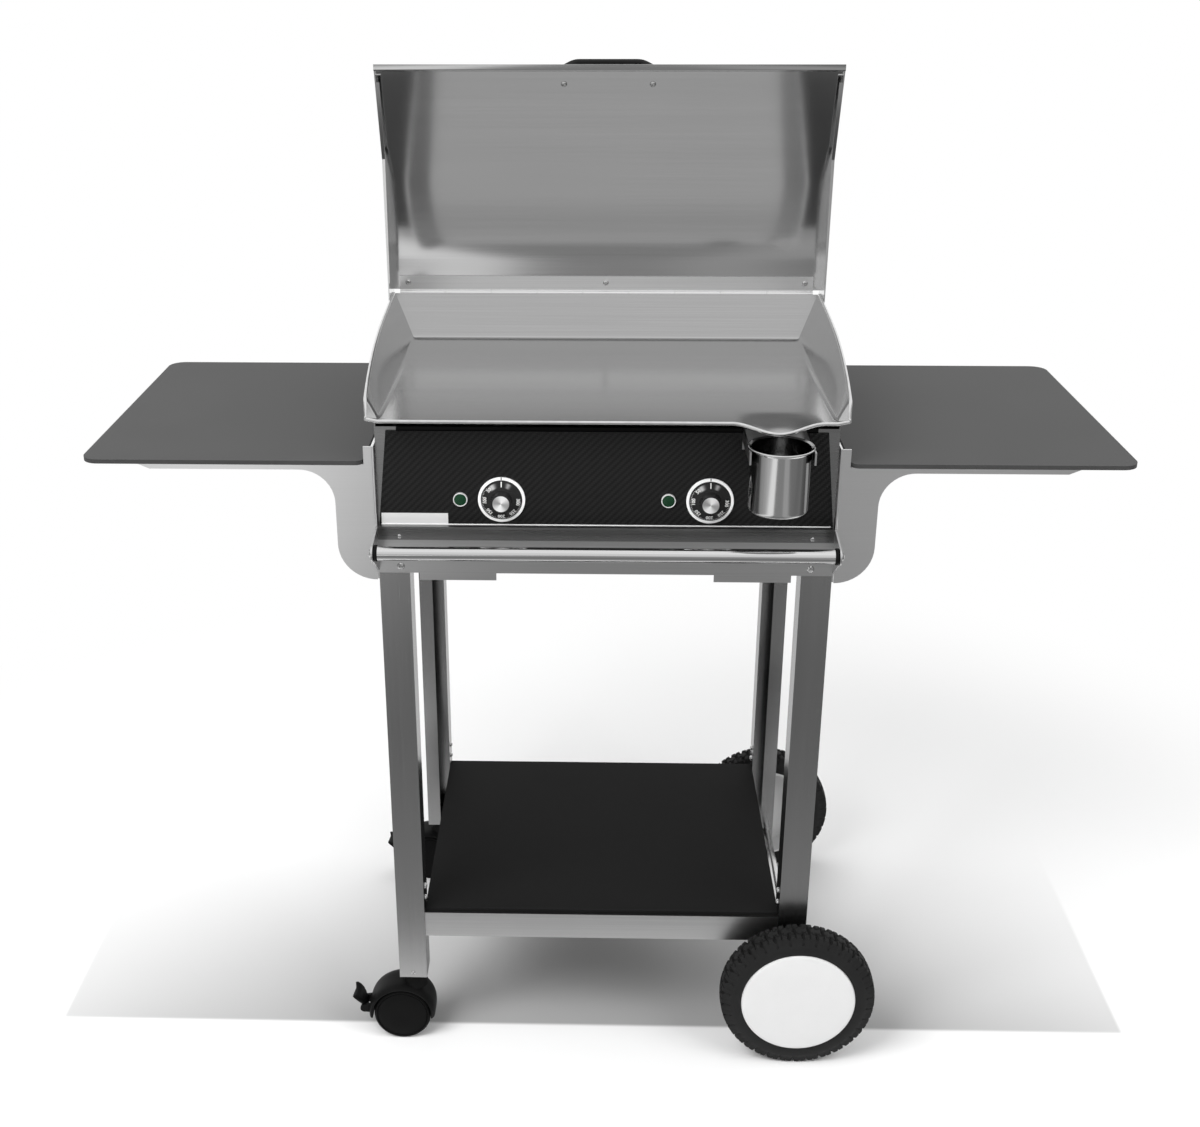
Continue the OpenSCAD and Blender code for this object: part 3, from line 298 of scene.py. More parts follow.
def turnedMetal(b, s, centre):
    # Fine rings round the cap's middle, with two bright and two dark fans painted into its colour: painted highlights
    # and painted shade like those a turned face shows.
    x, z, away = b.around(centre)
    rings = (away * s["rings"]).maths("SINE")
    # painted highlights and painted shade: two bright and two dark fans by angle
    paintedFans = (z * z - x * x + x * z * s["slant"]) / (away * away + 0.0000001)
    grain = b.noise(900.0)
    tone = (paintedFans * s["contrast"] + 0.5 + (grain - 0.5) * s["grain"]).clip()
    return b.finish(
        Base_Color=b.grey(tone, s["tone"] * s["low"], s["tone"] * s["high"]),
        Metallic=s["metal"],
        Roughness=grain * 0.1 + s["rough"],
        Normal=b.bump(rings, 0.15, 0.00005),
    )


def glossSkirt(b, s, centre):
    # Black, with pale fans where the cone catches the light.
    x, z, away = b.around(centre)
    away = away + 0.0001
    grain = b.noise(1400.0)
    fans = 0.0
    for turn, sharp, share in s["fans"]:
        a = math.radians(turn)
        fans = fans + ((x * math.sin(a) + z * math.cos(a)) / away).clip() ** sharp * share
    fans = fans * away.step(*s["fanIn"]) * (1 - away.step(*s["fanOut"]))
    return b.finish(
        Base_Color=b.grey((fans * 0.92 + grain * 0.04).clip(), s["tone"], s["shine"]),
        Roughness=grain * 0.08 + s["rough"],
        Specular_IOR_Level=s["specular"],
        Normal=b.bump(grain, 0.02, 0.0001),
    )


def lampGlass(b, s):
    # Green glass with two sets of ribs that cross.
    x, y, z = b.axes(b.place((s["ribs"],) * 3))
    ribs = x.maths("SINE") * z.maths("SINE")
    return b.finish(
        Base_Color=b.mix((ribs * 0.5 + 0.5).clip(), s["dark"], s["light"]),
        Roughness=ribs * 0.04 + s["rough"],
        Specular_IOR_Level=s["specular"],
        Coat_Weight=s["coat"],
        Normal=b.bump(ribs, s["bump"], s["deep"]),
    )


finishSet = {
    brushedSteel: {
        "plateSteel": {"grain": "x", "tone": 0.49, "rough": 0.18, "spread": 0.08, "bump": 0.014, "streak": 0.06},
        "lidSteel": {"grain": "x", "tone": 0.61, "rough": 0.12, "spread": 0.05, "bump": 0.006, "streak": 0.05},
        "cheekSteel": {"grain": "z", "tone": 0.76, "rough": 0.16, "spread": 0.06, "bump": 0.01, "streak": 0.06},
        "leafSteel": {"grain": "x", "tone": 0.92, "rough": 0.30, "spread": 0.10, "bump": 0.03, "streak": 0.06},
        # the casing's dark strip is painted shade under the griddle plate's front
        "casingSteel": {"grain": "x", "tone": 0.30, "rough": 0.28, "spread": 0.12, "bump": 0.04, "streak": 0.10,
                        "strip": (0.836, -0.150, 0.2390), "stripTone": 0.012},
        "sheetSteel": {"grain": "x", "tone": 0.66, "rough": 0.30, "spread": 0.07, "bump": 0.03, "streak": 0.06},
        # the legs' faces turned to the middle of the trolley are painted darker, as painted shade
        "legSteel": {"grain": "z", "tone": 0.42, "rough": 0.26, "spread": 0.05, "bump": 0.015, "streak": 0.05,
                     "inner": 0.30},
        "bracketSteel": {"grain": "x", "tone": 0.84, "rough": 0.30, "spread": 0.03, "bump": 0.004, "streak": 0.02},
        "barSteel": {"grain": "x", "tone": 0.70, "rough": 0.11, "spread": 0.03, "bump": 0.004, "streak": 0.05},
        # the cup's faces turned to the sides are painted darker, as painted shade
        "cupSteel": {"grain": "z", "tone": 0.68, "rough": 0.12, "spread": 0.04, "bump": 0.006, "streak": 0.05,
                     "flanks": 0.22},
    },
    polishedSteel: {
        "tubeSteel": {"tone": 0.66, "rough": 0.14},
        # lighter than the plate's steel: a painted highlight along the plate's edges
        "brightRim": {"tone": 0.72, "rough": 0.14},
        # near white and half diffuse: a painted highlight on the lamp bezels and the panel's foot fold, besides their
        # steel's reflection
        "brightTrim": {"tone": 0.95, "rough": 0.12, "metal": 0.5},
        "screwSteel": {"tone": 0.62, "rough": 0.08},
    },
    wovenPanel: {
        "weaveBlack": {"cell": 0.0021, "tone": 0.0068, "low": 0.25, "high": 2.5, "dust": 0.2, "rough": 0.46,
                       "crest": -0.10, "specular": 0.20, "bump": 0.6, "deep": 0.0004},
    },
    laminate: {
        "shelfLaminate": {"tone": 0.050, "rough": 0.52, "bump": 0.06, "specular": 0.14},
        "lowLaminate": {"tone": 0.008, "rough": 0.60, "bump": 0.06, "specular": 0.07},
    },
    mouldedPlastic: {
        "blackPlastic": {"colour": (0.006, 0.006, 0.006), "rough": 0.42, "bump": 0.06, "specular": 0.06},
        "tyreRubber": {"colour": (0.015, 0.015, 0.015), "rough": 0.62, "bump": 0.2, "specular": 0.14},
        "casterRubber": {"colour": (0.005, 0.005, 0.005), "rough": 0.5, "bump": 0.1, "specular": 0.06},
        "whitePlastic": {"colour": (0.70, 0.70, 0.70), "rough": 0.42, "bump": 0.03, "vary": 0.02},
        "heaterDark": {"colour": (0.10, 0.09, 0.085), "rough": 0.5, "bump": 0.1},
        "phenolicBrown": {"colour": (0.20, 0.10, 0.05), "rough": 0.6, "bump": 0.1},
        "ivoryBlock": {"colour": (0.70, 0.66, 0.56), "rough": 0.5, "bump": 0.1},
        "printWhite": {"colour": (0.92, 0.92, 0.90), "rough": 0.5, "bump": 0.02},
        "ringWhite": {"colour": (0.94, 0.94, 0.94), "rough": 0.4, "bump": 0.02, "vary": 0.03},
    },
    lampGlass: {
        "lampGreen": {"dark": (0.001, 0.012, 0.004, 1), "light": (0.004, 0.058, 0.020, 1), "ribs": 2400,
                      "rough": 0.14, "specular": 0.25, "coat": 0.25, "bump": 0.3, "deep": 0.0004},
    },
}
dialFinishSet = {
    "dialBlack": {"tone": 0.005, "shine": 0.80, "rough": 0.20, "specular": 0.15,
                  "fans": ((-34, 70, 0.95), (24, 150, 0.85), (150, 70, 0.06)),  # degrees, sharpness, share
                  "fanIn": (0.0150, 0.0170), "fanOut": (0.0205, 0.0225)},
    # the cap's bright and dark fans are painted highlights and painted shade
    "spunCap": {"tone": 0.88, "low": 0.42, "high": 1.15, "rough": 0.30, "metal": 0.45, "rings": 7500.0,
                "slant": 1.6, "contrast": 0.42, "grain": 0.3},
}
sides = {"left": -1, "right": 1}
dialSet = {
    "x": 0.120, "z": 0.7705, "panel": -0.173, "gap": 0.0004, "skirt": 0.0238, "skirtThick": 0.005,
    "knob": 0.0122, "knobLong": 0.0115, "cap": 0.0096, "capSunk": 0.0014,
    "numbers": ((50, 312), (100, 270), (150, 226), (200, 181), (250, 138), (300, 95)),  # each with its angle
    "numberRing": 0.0190, "numberSize": 0.0056, "numberBold": 0.00008,
    "ticks": 42, "firstTick": 95, "tickStep": 5.24, "longEach": 8, "tickIn": 0.0216, "longIn": 0.0209,
    "tickOut": 0.0229, "tickHalf": 0.00016, "lineIn": 0.0165, "lineHalf": 0.00055, "lift": 0.00012,
}


def paint(name, make, *settings):
    # A new material, given its nodes by one of the makers above.
    return make(Board(bpy.data.materials.new(name)), *settings)


paints = {name: paint(name, make, s) for make, group in finishSet.items() for name, s in group.items()}
for name, side in sides.items():
    for kind, make in (("dialBlack", glossSkirt), ("spunCap", turnedMetal)):
        full = kind + name.title()
        paints[full] = paint(full, make, dialFinishSet[kind], (side * dialSet["x"], dialSet["z"]))

wears = {
    "plateSteel": "griddle_plate",
    "lidSteel": "lid_sheet",
    "leafSteel": "hinge_leaf_lid hinge_leaf_plate",
    "cheekSteel": "lid_cheek_left lid_cheek_right",
    "casingSteel": "casing",
    "sheetSteel": "cup_holder front_apron rear_apron side_rails lower_rail_front lower_rail_rear base_pan "
                  "element_clamps",
    "legSteel": "leg_front_left leg_front_right leg_rear_left leg_rear_right",
    "bracketSteel": "gussets_left gussets_right",
    "tubeSteel": "towel_bar axle hinge_pin knob_shaft_left knob_shaft_right knob_cap_left knob_cap_right "
                 "lamp_bezels grease_cup",
    "screwSteel": "lid_screws bar_screws frame_bolts",
    "weaveBlack": "control_panel",
    "shelfLaminate": "side_shelf_left side_shelf_right",
    "lowLaminate": "lower_shelf",
    "blackPlastic": "knob_skirt_left knob_skirt_right lid_handle bar_caps caster_sockets caster_hood_front "
                    "caster_hood_rear brake_lever_front brake_lever_rear cable_gland",
    "tyreRubber": "tyre_front tyre_rear",
    "casterRubber": "caster_wheels_front caster_wheels_rear",
    "whitePlastic": "hub_front hub_rear dial_rings nameplate",
    "heaterDark": "heating_elements",
    "phenolicBrown": "thermostats",
    "ivoryBlock": "terminal_block",
    "lampGreen": "lamp_lenses",
}
for material, names in wears.items():
    for name in names.split():
        worn = nodes[name].data.materials
        worn.clear()
        worn.append(paints[material])
print("materials on", sum(len(names.split()) for names in wears.values()), "nodes")


def gridFaces(rows, cols, roundRows=False, roundCols=False):
    # Quads between the neighbours of a grid of points, closed on itself where it goes round.
    rowEnd, colEnd = rows if roundRows else rows - 1, cols if roundCols else cols - 1
    i, j = np.meshgrid(np.arange(rowEnd), np.arange(colEnd), indexing="ij")
    k, l = (i + 1) % rows, (j + 1) % cols
    return np.stack([i * cols + j, i * cols + l, k * cols + l, k * cols + j], -1).reshape(-1, 4)


def rodFaces(rows, n):
    # The sides of a closed section of n points carried through a number of rows, and its two ends.
    last = (rows - 1) * n
    ends = [tuple(range(n))[::-1], tuple(range(last, last + n))]
    return [tuple(f) for f in gridFaces(rows, n, roundCols=True)] + ends


def addPiece(name, points, faces, material, body, replaced=(), sharp=35, turnOut=True):
    mesh = bpy.data.meshes.new(name)
    points = np.asarray(points, float).reshape(-1, 3)
    mesh.from_pydata(points.tolist(), [], [tuple(int(v) for v in face) for face in faces])
    work = bmesh.new()
    work.from_mesh(mesh)
    bmesh.ops.remove_doubles(work, verts=work.verts, dist=1e-6)
    if turnOut:
        bmesh.ops.recalc_face_normals(work, faces=work.faces)
    work.to_mesh(mesh)
    work.free()
    mesh.shade_smooth()
    mesh.set_sharp_from_angle(angle=math.radians(sharp))
    mesh.materials.append(paints[material])
    thing = bpy.data.objects.new(name, mesh)
    scene.collection.objects.link(thing)
    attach(thing, body)
    if replaced:
        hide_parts(*replaced)


def joined(parts):
    # Puts several (points, faces) pairs into one.
    points, faces, count = [], [], 0
    for p, f in parts:
        p = np.asarray(p, float).reshape(-1, 3)
        points.append(p)
        faces += [tuple(int(v) + count for v in face) for face in f]
        count += len(p)
    return np.concatenate(points), faces


def spun(profile, steps, wave=None):
    # A profile of (radius, height) pairs turned right round the Z axis.
    profile = np.asarray(profile, float)
    angle = np.radians(np.linspace(0, 360, steps, endpoint=False))[:, None]
    r, h = (np.broadcast_to(profile[:, i][None], (steps, len(profile))) for i in (0, 1))
    if wave is not None:
        r = r + wave(angle, profile)
    points = np.stack([r * np.cos(angle), r * np.sin(angle), h], -1)
    return points.reshape(-1, 3), gridFaces(steps, len(profile), roundRows=True)


def facing(points, place, toward="front"):
    # Turns a shape made about Z, its top outwards, to face the front or the rear, and puts it in place.
    p = np.asarray(points, float)
    s = -1 if toward == "front" else 1
    return np.stack([p[:, 0], s * p[:, 2], -s * p[:, 1]], -1) + np.asarray(place)


def turned(points, axis):
    # Lays a shape made about Z along one of the axes.
    x, y, z = np.asarray(points).T
    return np.stack({"-y": (x, -z, y), "y": (x, z, -y), "x": (z, y, -x), "-x": (-z, y, x)}[axis], -1)


def thickSheet(grid, thickness):
    # A sheet given as a grid of points gets a second skin, set off along its own normals, and edges.
    n = np.cross(np.gradient(grid, axis=0), np.gradient(grid, axis=1))
    n /= np.linalg.norm(n, axis=-1, keepdims=True) + 1e-12
    rows, cols = grid.shape[:2]
    other = grid + n * thickness
    count = rows * cols
    skin = gridFaces(rows, cols)
    rim = np.concatenate([
        np.arange(cols), cols - 1 + cols * np.arange(1, rows),
        (rows - 1) * cols + np.arange(cols - 2, -1, -1), cols * np.arange(rows - 2, 0, -1)])
    after = np.roll(rim, -1)
    edges = np.stack([rim, after, after + count, rim + count], -1)
    points = np.concatenate([grid.reshape(-1, 3), other.reshape(-1, 3)])
    return points, np.concatenate([skin, skin[:, ::-1] + count, edges])


def swept(path, section, side):
    # A closed section carried along a path; side is the direction that the section's first axis keeps.
    path = np.asarray(path, float)
    section = np.asarray(section, float)
    ahead = np.gradient(path, axis=0)
    ahead /= np.linalg.norm(ahead, axis=1, keepdims=True)
    side = np.broadcast_to(np.asarray(side, float), path.shape)
    up = np.cross(ahead, side)
    up /= np.linalg.norm(up, axis=1, keepdims=True)
    points = path[:, None] + section[None, :, :1] * side[:, None] + section[None, :, 1:] * up[:, None]
    return points.reshape(-1, 3), rodFaces(len(path), len(section))


def roundedBox(width, height, radius, steps=5):
    # A rectangle's outline with a quarter circle at each corner.
    x, y = width / 2 - radius, height / 2 - radius
    a = np.radians(np.linspace(0, 90, steps))
    return np.concatenate([
        np.stack([cx + radius * np.cos(a + math.radians(t)), cy + radius * np.sin(a + math.radians(t))], -1)
        for cx, cy, t in ((x, y, 0), (-x, y, 90), (-x, -y, 180), (x, -y, 270))])


def softPath(points, radius, steps=6):
    # A path of straight runs; a quadratic curve that starts at radius from each corner rounds it.
    points = [np.asarray(p, float) for p in points]
    made = [points[0][None]]
    t = np.linspace(0, 1, steps)[:, None]
    for before, here, after in zip(points, points[1:], points[2:]):
        a = here + (before - here) / np.linalg.norm(before - here) * radius
        b = here + (after - here) / np.linalg.norm(after - here) * radius
        made.append((1 - t) ** 2 * a + 2 * t * (1 - t) * here + t ** 2 * b)
    made.append(points[-1][None])
    return np.concatenate(made)


plateSet = {
    "front": -0.2025, "fold": 0.1575, "floorHalf": 0.254, "z": 0.875, "thick": 0.0045, "bend": 0.006,
    "wallTop": (0.2675, 0.2795), "wallHigh": (0.014, 0.055), "curveShare": 0.8, "lean": 0.024,
    "wallThick": 0.003, "nose": 0.016, "noseLow": 0.18, "noseCurve": 2.4, "rows": 90, "crowd": 1.6,
    "spoutX": 0.190, "spoutHalf": 0.052, "spoutDrop": 0.0085, "spoutOut": 0.013, "spoutRun": 0.040,
    "bead": 0.0023,
}


def makePlate(s):
    # The floor with its spout and both side walls are one sheet, the rear wall is another.
    depth = s["fold"] - s["front"]
    lowWall, highWall = s["wallHigh"]
    nearTop, farTop = s["wallTop"]

    def bentWall(height, run):
        # across the fold: along the floor, round the bend, then straight up the slope to the rim
        slope = np.arctan2(height, run)
        cut = s["bend"] * np.tan(slope / 2)
        a = np.linspace(0, 1, 8)[:, None] * slope
        along = cut + (np.hypot(height, run) - cut) * np.linspace(0, 1, 12)[1:, None]
        inwards = np.concatenate([s["bend"] * np.sin(a) - cut, along * np.cos(slope)])
        upwards = np.concatenate([s["bend"] * (1 - np.cos(a)), along * np.sin(slope)])
        return inwards, upwards

    v = np.linspace(0, 1, s["rows"]) ** s["crowd"]  # rows crowd towards the front
    height = lowWall + (highWall - lowWall) * (1 - (1 - np.minimum(1, v / s["curveShare"])) ** 3)
    height = height * np.clip(1 - (1 - np.minimum(1, v * depth / s["nose"])) ** s["noseCurve"], s["noseLow"], 1)
    run = nearTop + (farTop - nearTop) * v - s["floorHalf"]
    out, up = bentWall(height[None], run[None])
    wallX = s["floorHalf"] + out
    wallZ = s["z"] + up
    share = np.clip(up / height[None], 0, 1)
    wallY = s["front"] + depth * v[None] + s["lean"] * v[None] * share
    across = np.concatenate([np.linspace(-1, 0.5, 60), np.linspace(0.5, 1, 90)[1:]])
    x = across[:, None] * wallX[:1]
    off = x - s["spoutX"]
    w = np.where(abs(off) < s["spoutHalf"], 0.5 + 0.5 * np.cos(np.pi * off / s["spoutHalf"]), 0)
    y = np.broadcast_to(s["front"] + depth * v[None], x.shape)
    t = np.clip(1 - (y - s["front"]) / s["spoutRun"], 0, 1)
    floorY = y - s["spoutOut"] * w * t
    floorZ = s["z"] - s["spoutDrop"] * w * t ** 2
    grid = np.concatenate([
        np.stack([-wallX[::-1], wallY[::-1], wallZ[::-1]], -1),
        np.stack([x, floorY, floorZ], -1)[1:-1],
        np.stack([wallX, wallY, wallZ], -1)])
    tray = thickSheet(grid, -s["thick"])
    out, up = bentWall(np.array([[highWall]]), np.array([[s["lean"]]]))
    u = np.linspace(-1, 1, 30)[None]
    half = s["floorHalf"] + (farTop - s["floorHalf"]) * up / highWall
    rear = np.stack([u * half, s["fold"] + out + 0 * u, s["z"] + up + 0 * u], -1)
    middle = tray[0].reshape(2, *grid.shape).mean(0)
    return *joined([tray, thickSheet(rear, s["wallThick"])]), middle


def makeRim(s, grid):
    # A round bead carried along the wall tops and the front lip, half way through the sheet. Its steel is lighter than
    # the plate's, a painted highlight along the edges.
    a = np.radians(np.arange(0, 360, 30))
    bead = s["bead"] * np.stack([np.cos(a), np.sin(a)], -1)
    runs = ((grid[0], (1, 0, 0)), (grid[:, 0], (0, 1, 0)), (grid[-1], (1, 0, 0)))
    return joined([swept(path, bead, side) for path, side in runs])


platePoints, plateFaces, plateMiddle = makePlate(plateSet)
addPiece("cookingPlate", platePoints, plateFaces, "plateSteel", "trolley", ["griddle_plate"], sharp=40)
addPiece("plateRim", *makeRim(plateSet, plateMiddle), "brightRim", "trolley", sharp=80)


lidSet = {
    "half": 0.2825, "foot": (0.193, 0.933), "rearLength": 0.0385, "rearLean": 3.0, "bend": 0.220,
    "frontLength": 0.1575, "frontLean": 25.3, "thick": 0.0015,
    "hemOut": 0.005, "hemHigh": 0.007, "hemLift": 0.0004, "hemBend": 0.0012, "hemThick": 0.0014, "hemPast": 0.0015,
    "hemRoot": (0, 0.0007, -0.0004),
}


def lidPath(s):
    # The sheet's section in Y and Z: a straight foot, one wide bend, a straight front, then the hem.
    a0, a1 = math.radians(-s["rearLean"]), math.radians(s["frontLean"])
    rise = np.linspace(0, 1, 8)[:, None]
    low = np.array([s["foot"]]) + rise * s["rearLength"] * np.array([[math.sin(-a0), math.cos(a0)]])
    centre = low[-1] - s["bend"] * np.array([math.cos(a0), math.sin(a0)])
    a = np.linspace(a0, a1, 24)[1:, None]
    bend = centre + s["bend"] * np.concatenate([np.cos(a), np.sin(a)], -1)
    way = np.array([-math.sin(a1), math.cos(a1)])
    high = bend[-1] + np.linspace(0, 1, 16)[1:, None] * s["frontLength"] * way
    hem = [high[-1] + np.array([-s["hemOut"], z]) for z in (s["hemLift"], s["hemHigh"])]
    return np.concatenate([low, bend, high]), hem, way


def makeLid(s):
    path, hem, way = lidPath(s)
    u = np.linspace(-s["half"], s["half"], 12)[:, None]
    grid = np.stack([u + 0 * path[:, 0], path[:, 0] + 0 * u, path[:, 1] + 0 * u], -1)
    corners = [np.array([0, *path[-1]]) + s["hemRoot"], np.array([0, *hem[0]]), np.array([0, *hem[1]])]
    end = s["half"] + s["hemPast"]
    fold = softPath(corners, s["hemBend"], 5)[None] + np.array([[[-end, 0, 0]], [[end, 0, 0]]])
    return joined([thickSheet(grid, -s["thick"]), thickSheet(fold, s["hemThick"])])


addPiece("lidSheet", *makeLid(lidSet), "lidSteel", "lid", ["lid_sheet"])


gripSet = {
    "long": 0.120, "off": 0.047, "thick": 0.0148, "bar": 0.0125, "slope": 0.013, "back": 0.0188, "screws": 0.108,
    "bend": 0.0055, "edge": 0.0042,
}


def gripFrame(s, l):
    # The grip's spot on the sheet's outer face, the way out of it and the way up it.
    path, hem, way = lidPath(l)
    out = np.array([way[1], -way[0]])
    return path[-1] - s["back"] * way + l["thick"] * out, out, way


def makeGrip(s, l):
    # A rounded bar carried out from the sheet, along it and back, with a slope at each corner.
    spot, out, way = gripFrame(s, l)
    h = s["long"] / 2 - s["bar"] / 2
    rise = s["off"] - s["bar"] / 2
    corners = [(-h, 0.0), (-h, rise - s["slope"]), (-h + s["slope"], rise)]
    corners += [(-x, r) for x, r in corners[::-1]]
    flat = softPath([np.array([x, 0, r]) for x, r in corners], s["bend"], 6)
    path = np.stack([flat[:, 0], spot[0] + flat[:, 2] * out[0], spot[1] + flat[:, 2] * out[1]], -1)
    return swept(path, roundedBox(s["thick"], s["bar"], s["edge"]), (0, way[0], way[1]))


addPiece("lidGrip", *makeGrip(gripSet, lidSet), "blackPlastic", "lid", ["lid_handle"], sharp=50)
print("plate and lid made")


screwSet = {
    "apron": {"x": 0.239, "y": -0.181, "rear": 0.230, "z": 0.6895, "r": 0.0046, "h": 0.0030},
    "skirt": {"x": 0.239, "y": -0.1825, "z": 0.7275, "r": 0.0028, "h": 0.0015, "socket": 0.4},
    "bracket": {"x": 0.267, "y": (-0.1625, 0.2115), "z": (0.690, 0.718), "r": 0.0046, "h": 0.0028},
    "rail": {"x": 0.229, "y": (-0.161, 0.210), "z": (0.212, 0.230), "r": 0.0040, "h": 0.0028},
    "foot": {"x": -0.247, "y": (-0.179, 0.228), "z": 0.105, "r": 0.0028, "h": 0.0015, "socket": 0.4},
    "bar": {"x": 0.2665, "y": -0.220, "z": 0.7215, "r": 0.0055, "h": 0.0038},
    "leaf": {"x": (-0.263, 0.0, 0.263), "y": 0.1915, "z": 0.9425, "r": 0.0038, "h": 0.0020},
}


def screwHead(s):
    # A dome with a hollow in its top, turned about Z with its seat at zero.
    r, h, inner = s["r"], s["h"], s["r"] * s.get("socket", 0.5)
    a = np.radians(np.linspace(0, 62, 6))
    dome = np.stack([r * np.cos(a), h * np.sin(a) / math.sin(a[-1])], -1)
    hollow = [[inner, h], [inner * 0.95, 0.0002], [0, 0.0002]]
    return spun(np.concatenate([[[0, 0], [r, 0]], dome, hollow]), 20)


def seated(s, axis, x, y, z):
    # A screw's head that points along an axis, in its place.
    points, faces = screwHead(s)
    return turned(points, axis) + (x, y, z), faces


def frameScrews(s):
    parts = []
    for side, out, inwards in ((-1, "-x", "x"), (1, "x", "-x")):
        apron, skirt = s["apron"], s["skirt"]
        parts.append(seated(apron, "-y", side * apron["x"], apron["y"], apron["z"]))
        parts.append(seated(apron, "y", side * apron["x"], apron["rear"], apron["z"]))
        parts.append(seated(skirt, "-y", side * skirt["x"], skirt["y"], skirt["z"]))
        for kind, axis in ((s["bracket"], out), (s["rail"], inwards)):
            parts += [seated(kind, axis, side * kind["x"], y, z) for y in kind["y"] for z in kind["z"]]
    foot = s["foot"]
    parts += [seated(foot, axis, foot["x"], y, foot["z"]) for y, axis in zip(foot["y"], ("-y", "y"))]
    return joined(parts)


def barScrews(s):
    return joined([seated(s, axis, side * s["x"], s["y"], s["z"]) for side, axis in ((-1, "-x"), (1, "x"))])


def lidScrews(s, g, l):
    # Three on the hinge leaf, and the grip's two, seated on the sheet's inner face.
    parts = [seated(s, "-y", x, s["y"], s["z"]) for x in s["x"]]
    spot, out, way = gripFrame(g, l)
    y0, z0 = spot - l["thick"] * out
    p, faces = screwHead(s)
    y = y0 - p[:, 2] * out[0] + p[:, 1] * way[0]
    z = z0 - p[:, 2] * out[1] + p[:, 1] * way[1]
    parts += [(np.stack([p[:, 0] + side * g["screws"] / 2, y, z], -1), faces) for side in (-1, 1)]
    return joined(parts)


addPiece("frameScrews", *frameScrews(screwSet), "screwSteel", "trolley", ["frame_bolts"])
addPiece("barScrews", *barScrews(screwSet["bar"]), "screwSteel", "trolley", ["bar_screws"])
addPiece("lidScrews", *lidScrews(screwSet["leaf"], gripSet, lidSet), "screwSteel", "lid", ["lid_screws"])
print("screws made")


def skirtCone(s):
    # The skirt's cone as (radius, height) pairs, from its rim to the knob.
    return [(s["skirt"] - 0.0007, 0.0029), (s["skirt"] - 0.008, s["skirtThick"] - 0.0004),
            (s["knob"] + 0.0025, s["skirtThick"])]


def makeDial(s, x):
    # A skirt with a cone and a knob with a sunk top, turned from one profile.
    t, k, r = s["skirtThick"], s["knob"], s["skirt"]
    top, cap = t + s["knobLong"], s["cap"] + 0.0001
    profile = [(0, 0), (r - 0.0006, 0), (r, 0.0006), (r, 0.0022), *skirtCone(s),
               (k + 0.0004, t + 0.0006), (k, t + 0.0016), (k - 0.0007, top - 0.0008), (k - 0.0015, top),
               (cap, top), (cap, top - s["capSunk"]), (0, top - s["capSunk"])]
    p, f = spun(profile, 96)
    return facing(p, (x, s["panel"] + s["gap"], s["z"])), f


def dialMarks(s, x):
    # Ticks, a pointer line and the numbers, laid on the skirt's cone.
    coneRadii, coneHeights = np.array(skirtCone(s)[::-1]).T

    def onCone(px, pz):
        h = np.interp(np.hypot(px, pz), coneRadii, coneHeights)
        return np.stack([x + px, s["panel"] - s["gap"] - h - s["lift"], s["z"] + pz], -1)

    def bar(angle, r0, r1, half):
        sin, cos = math.sin(math.radians(angle)), math.cos(math.radians(angle))
        rs = np.linspace(r0, r1, 4)
        px = np.stack([rs * sin - half * cos, rs * sin + half * cos], -1)
        pz = np.stack([rs * cos + half * sin, rs * cos - half * sin], -1)
        return onCone(px.ravel(), pz.ravel()), gridFaces(4, 2)

    parts = []
    for i in range(s["ticks"]):
        start = s["tickIn"] if i % s["longEach"] else s["longIn"]
        parts.append(bar(s["firstTick"] + i * s["tickStep"], start, s["tickOut"], s["tickHalf"]))
    parts.append(bar(0, s["lineIn"], s["tickOut"], s["lineHalf"]))
    for number, angle in s["numbers"]:
        curve = bpy.data.curves.new("figure", "FONT")
        curve.body = str(number)
        curve.size = s["numberSize"]
        curve.align_x = "CENTER"
        curve.align_y = "CENTER"
        curve.resolution_u = 2
        curve.offset = s["numberBold"]
        figure = bpy.data.objects.new("figure", curve)
        mesh = bpy.data.meshes.new_from_object(figure)
        co = np.array([v.co for v in mesh.vertices])
        sin, cos = math.sin(math.radians(angle)), math.cos(math.radians(angle))
        px = s["numberRing"] * sin + co[:, 0] * cos + co[:, 1] * sin
        pz = s["numberRing"] * cos - co[:, 0] * sin + co[:, 1] * cos
        parts.append((onCone(px, pz), [tuple(q.vertices) for q in mesh.polygons]))
        bpy.data.objects.remove(figure)
        bpy.data.meshes.remove(mesh)
    return joined(parts)


for name, side in sides.items():
    x, body, black = side * dialSet["x"], "dial " + name, "dialBlack" + name.title()
    addPiece("dial_" + name, *makeDial(dialSet, x), black, body, ["knob_skirt_" + name], sharp=28)
    addPiece("dialMarks_" + name, *dialMarks(dialSet, x), "printWhite", body, turnOut=False)


tickSet = {"half": 0.0005, "y": -0.17565, "low": 0.0245, "high": 0.0280}


def ringTicks(s, d):
    # One flat mark at the top of each dial's white ring.
    x, low, high = s["half"], s["low"], s["high"]
    mark = np.array([[-x, s["y"], low], [x, s["y"], low], [x, s["y"], high], [-x, s["y"], high]])
    return joined([(mark + (side * d["x"], 0, d["z"]), [(0, 1, 2, 3)]) for side in sides.values()])


addPiece("ringMarks", *ringTicks(tickSet, dialSet), "blackPlastic", "trolley", turnOut=False)
print("dials made")


cupSet = {
    "x": 0.190, "y": -0.2385, "rimZ": 0.8595, "tall": 0.075, "rim": 0.037, "r": 0.0335, "wall": 0.0008,
    "bead": 0.0012, "foot": 0.0042,
}


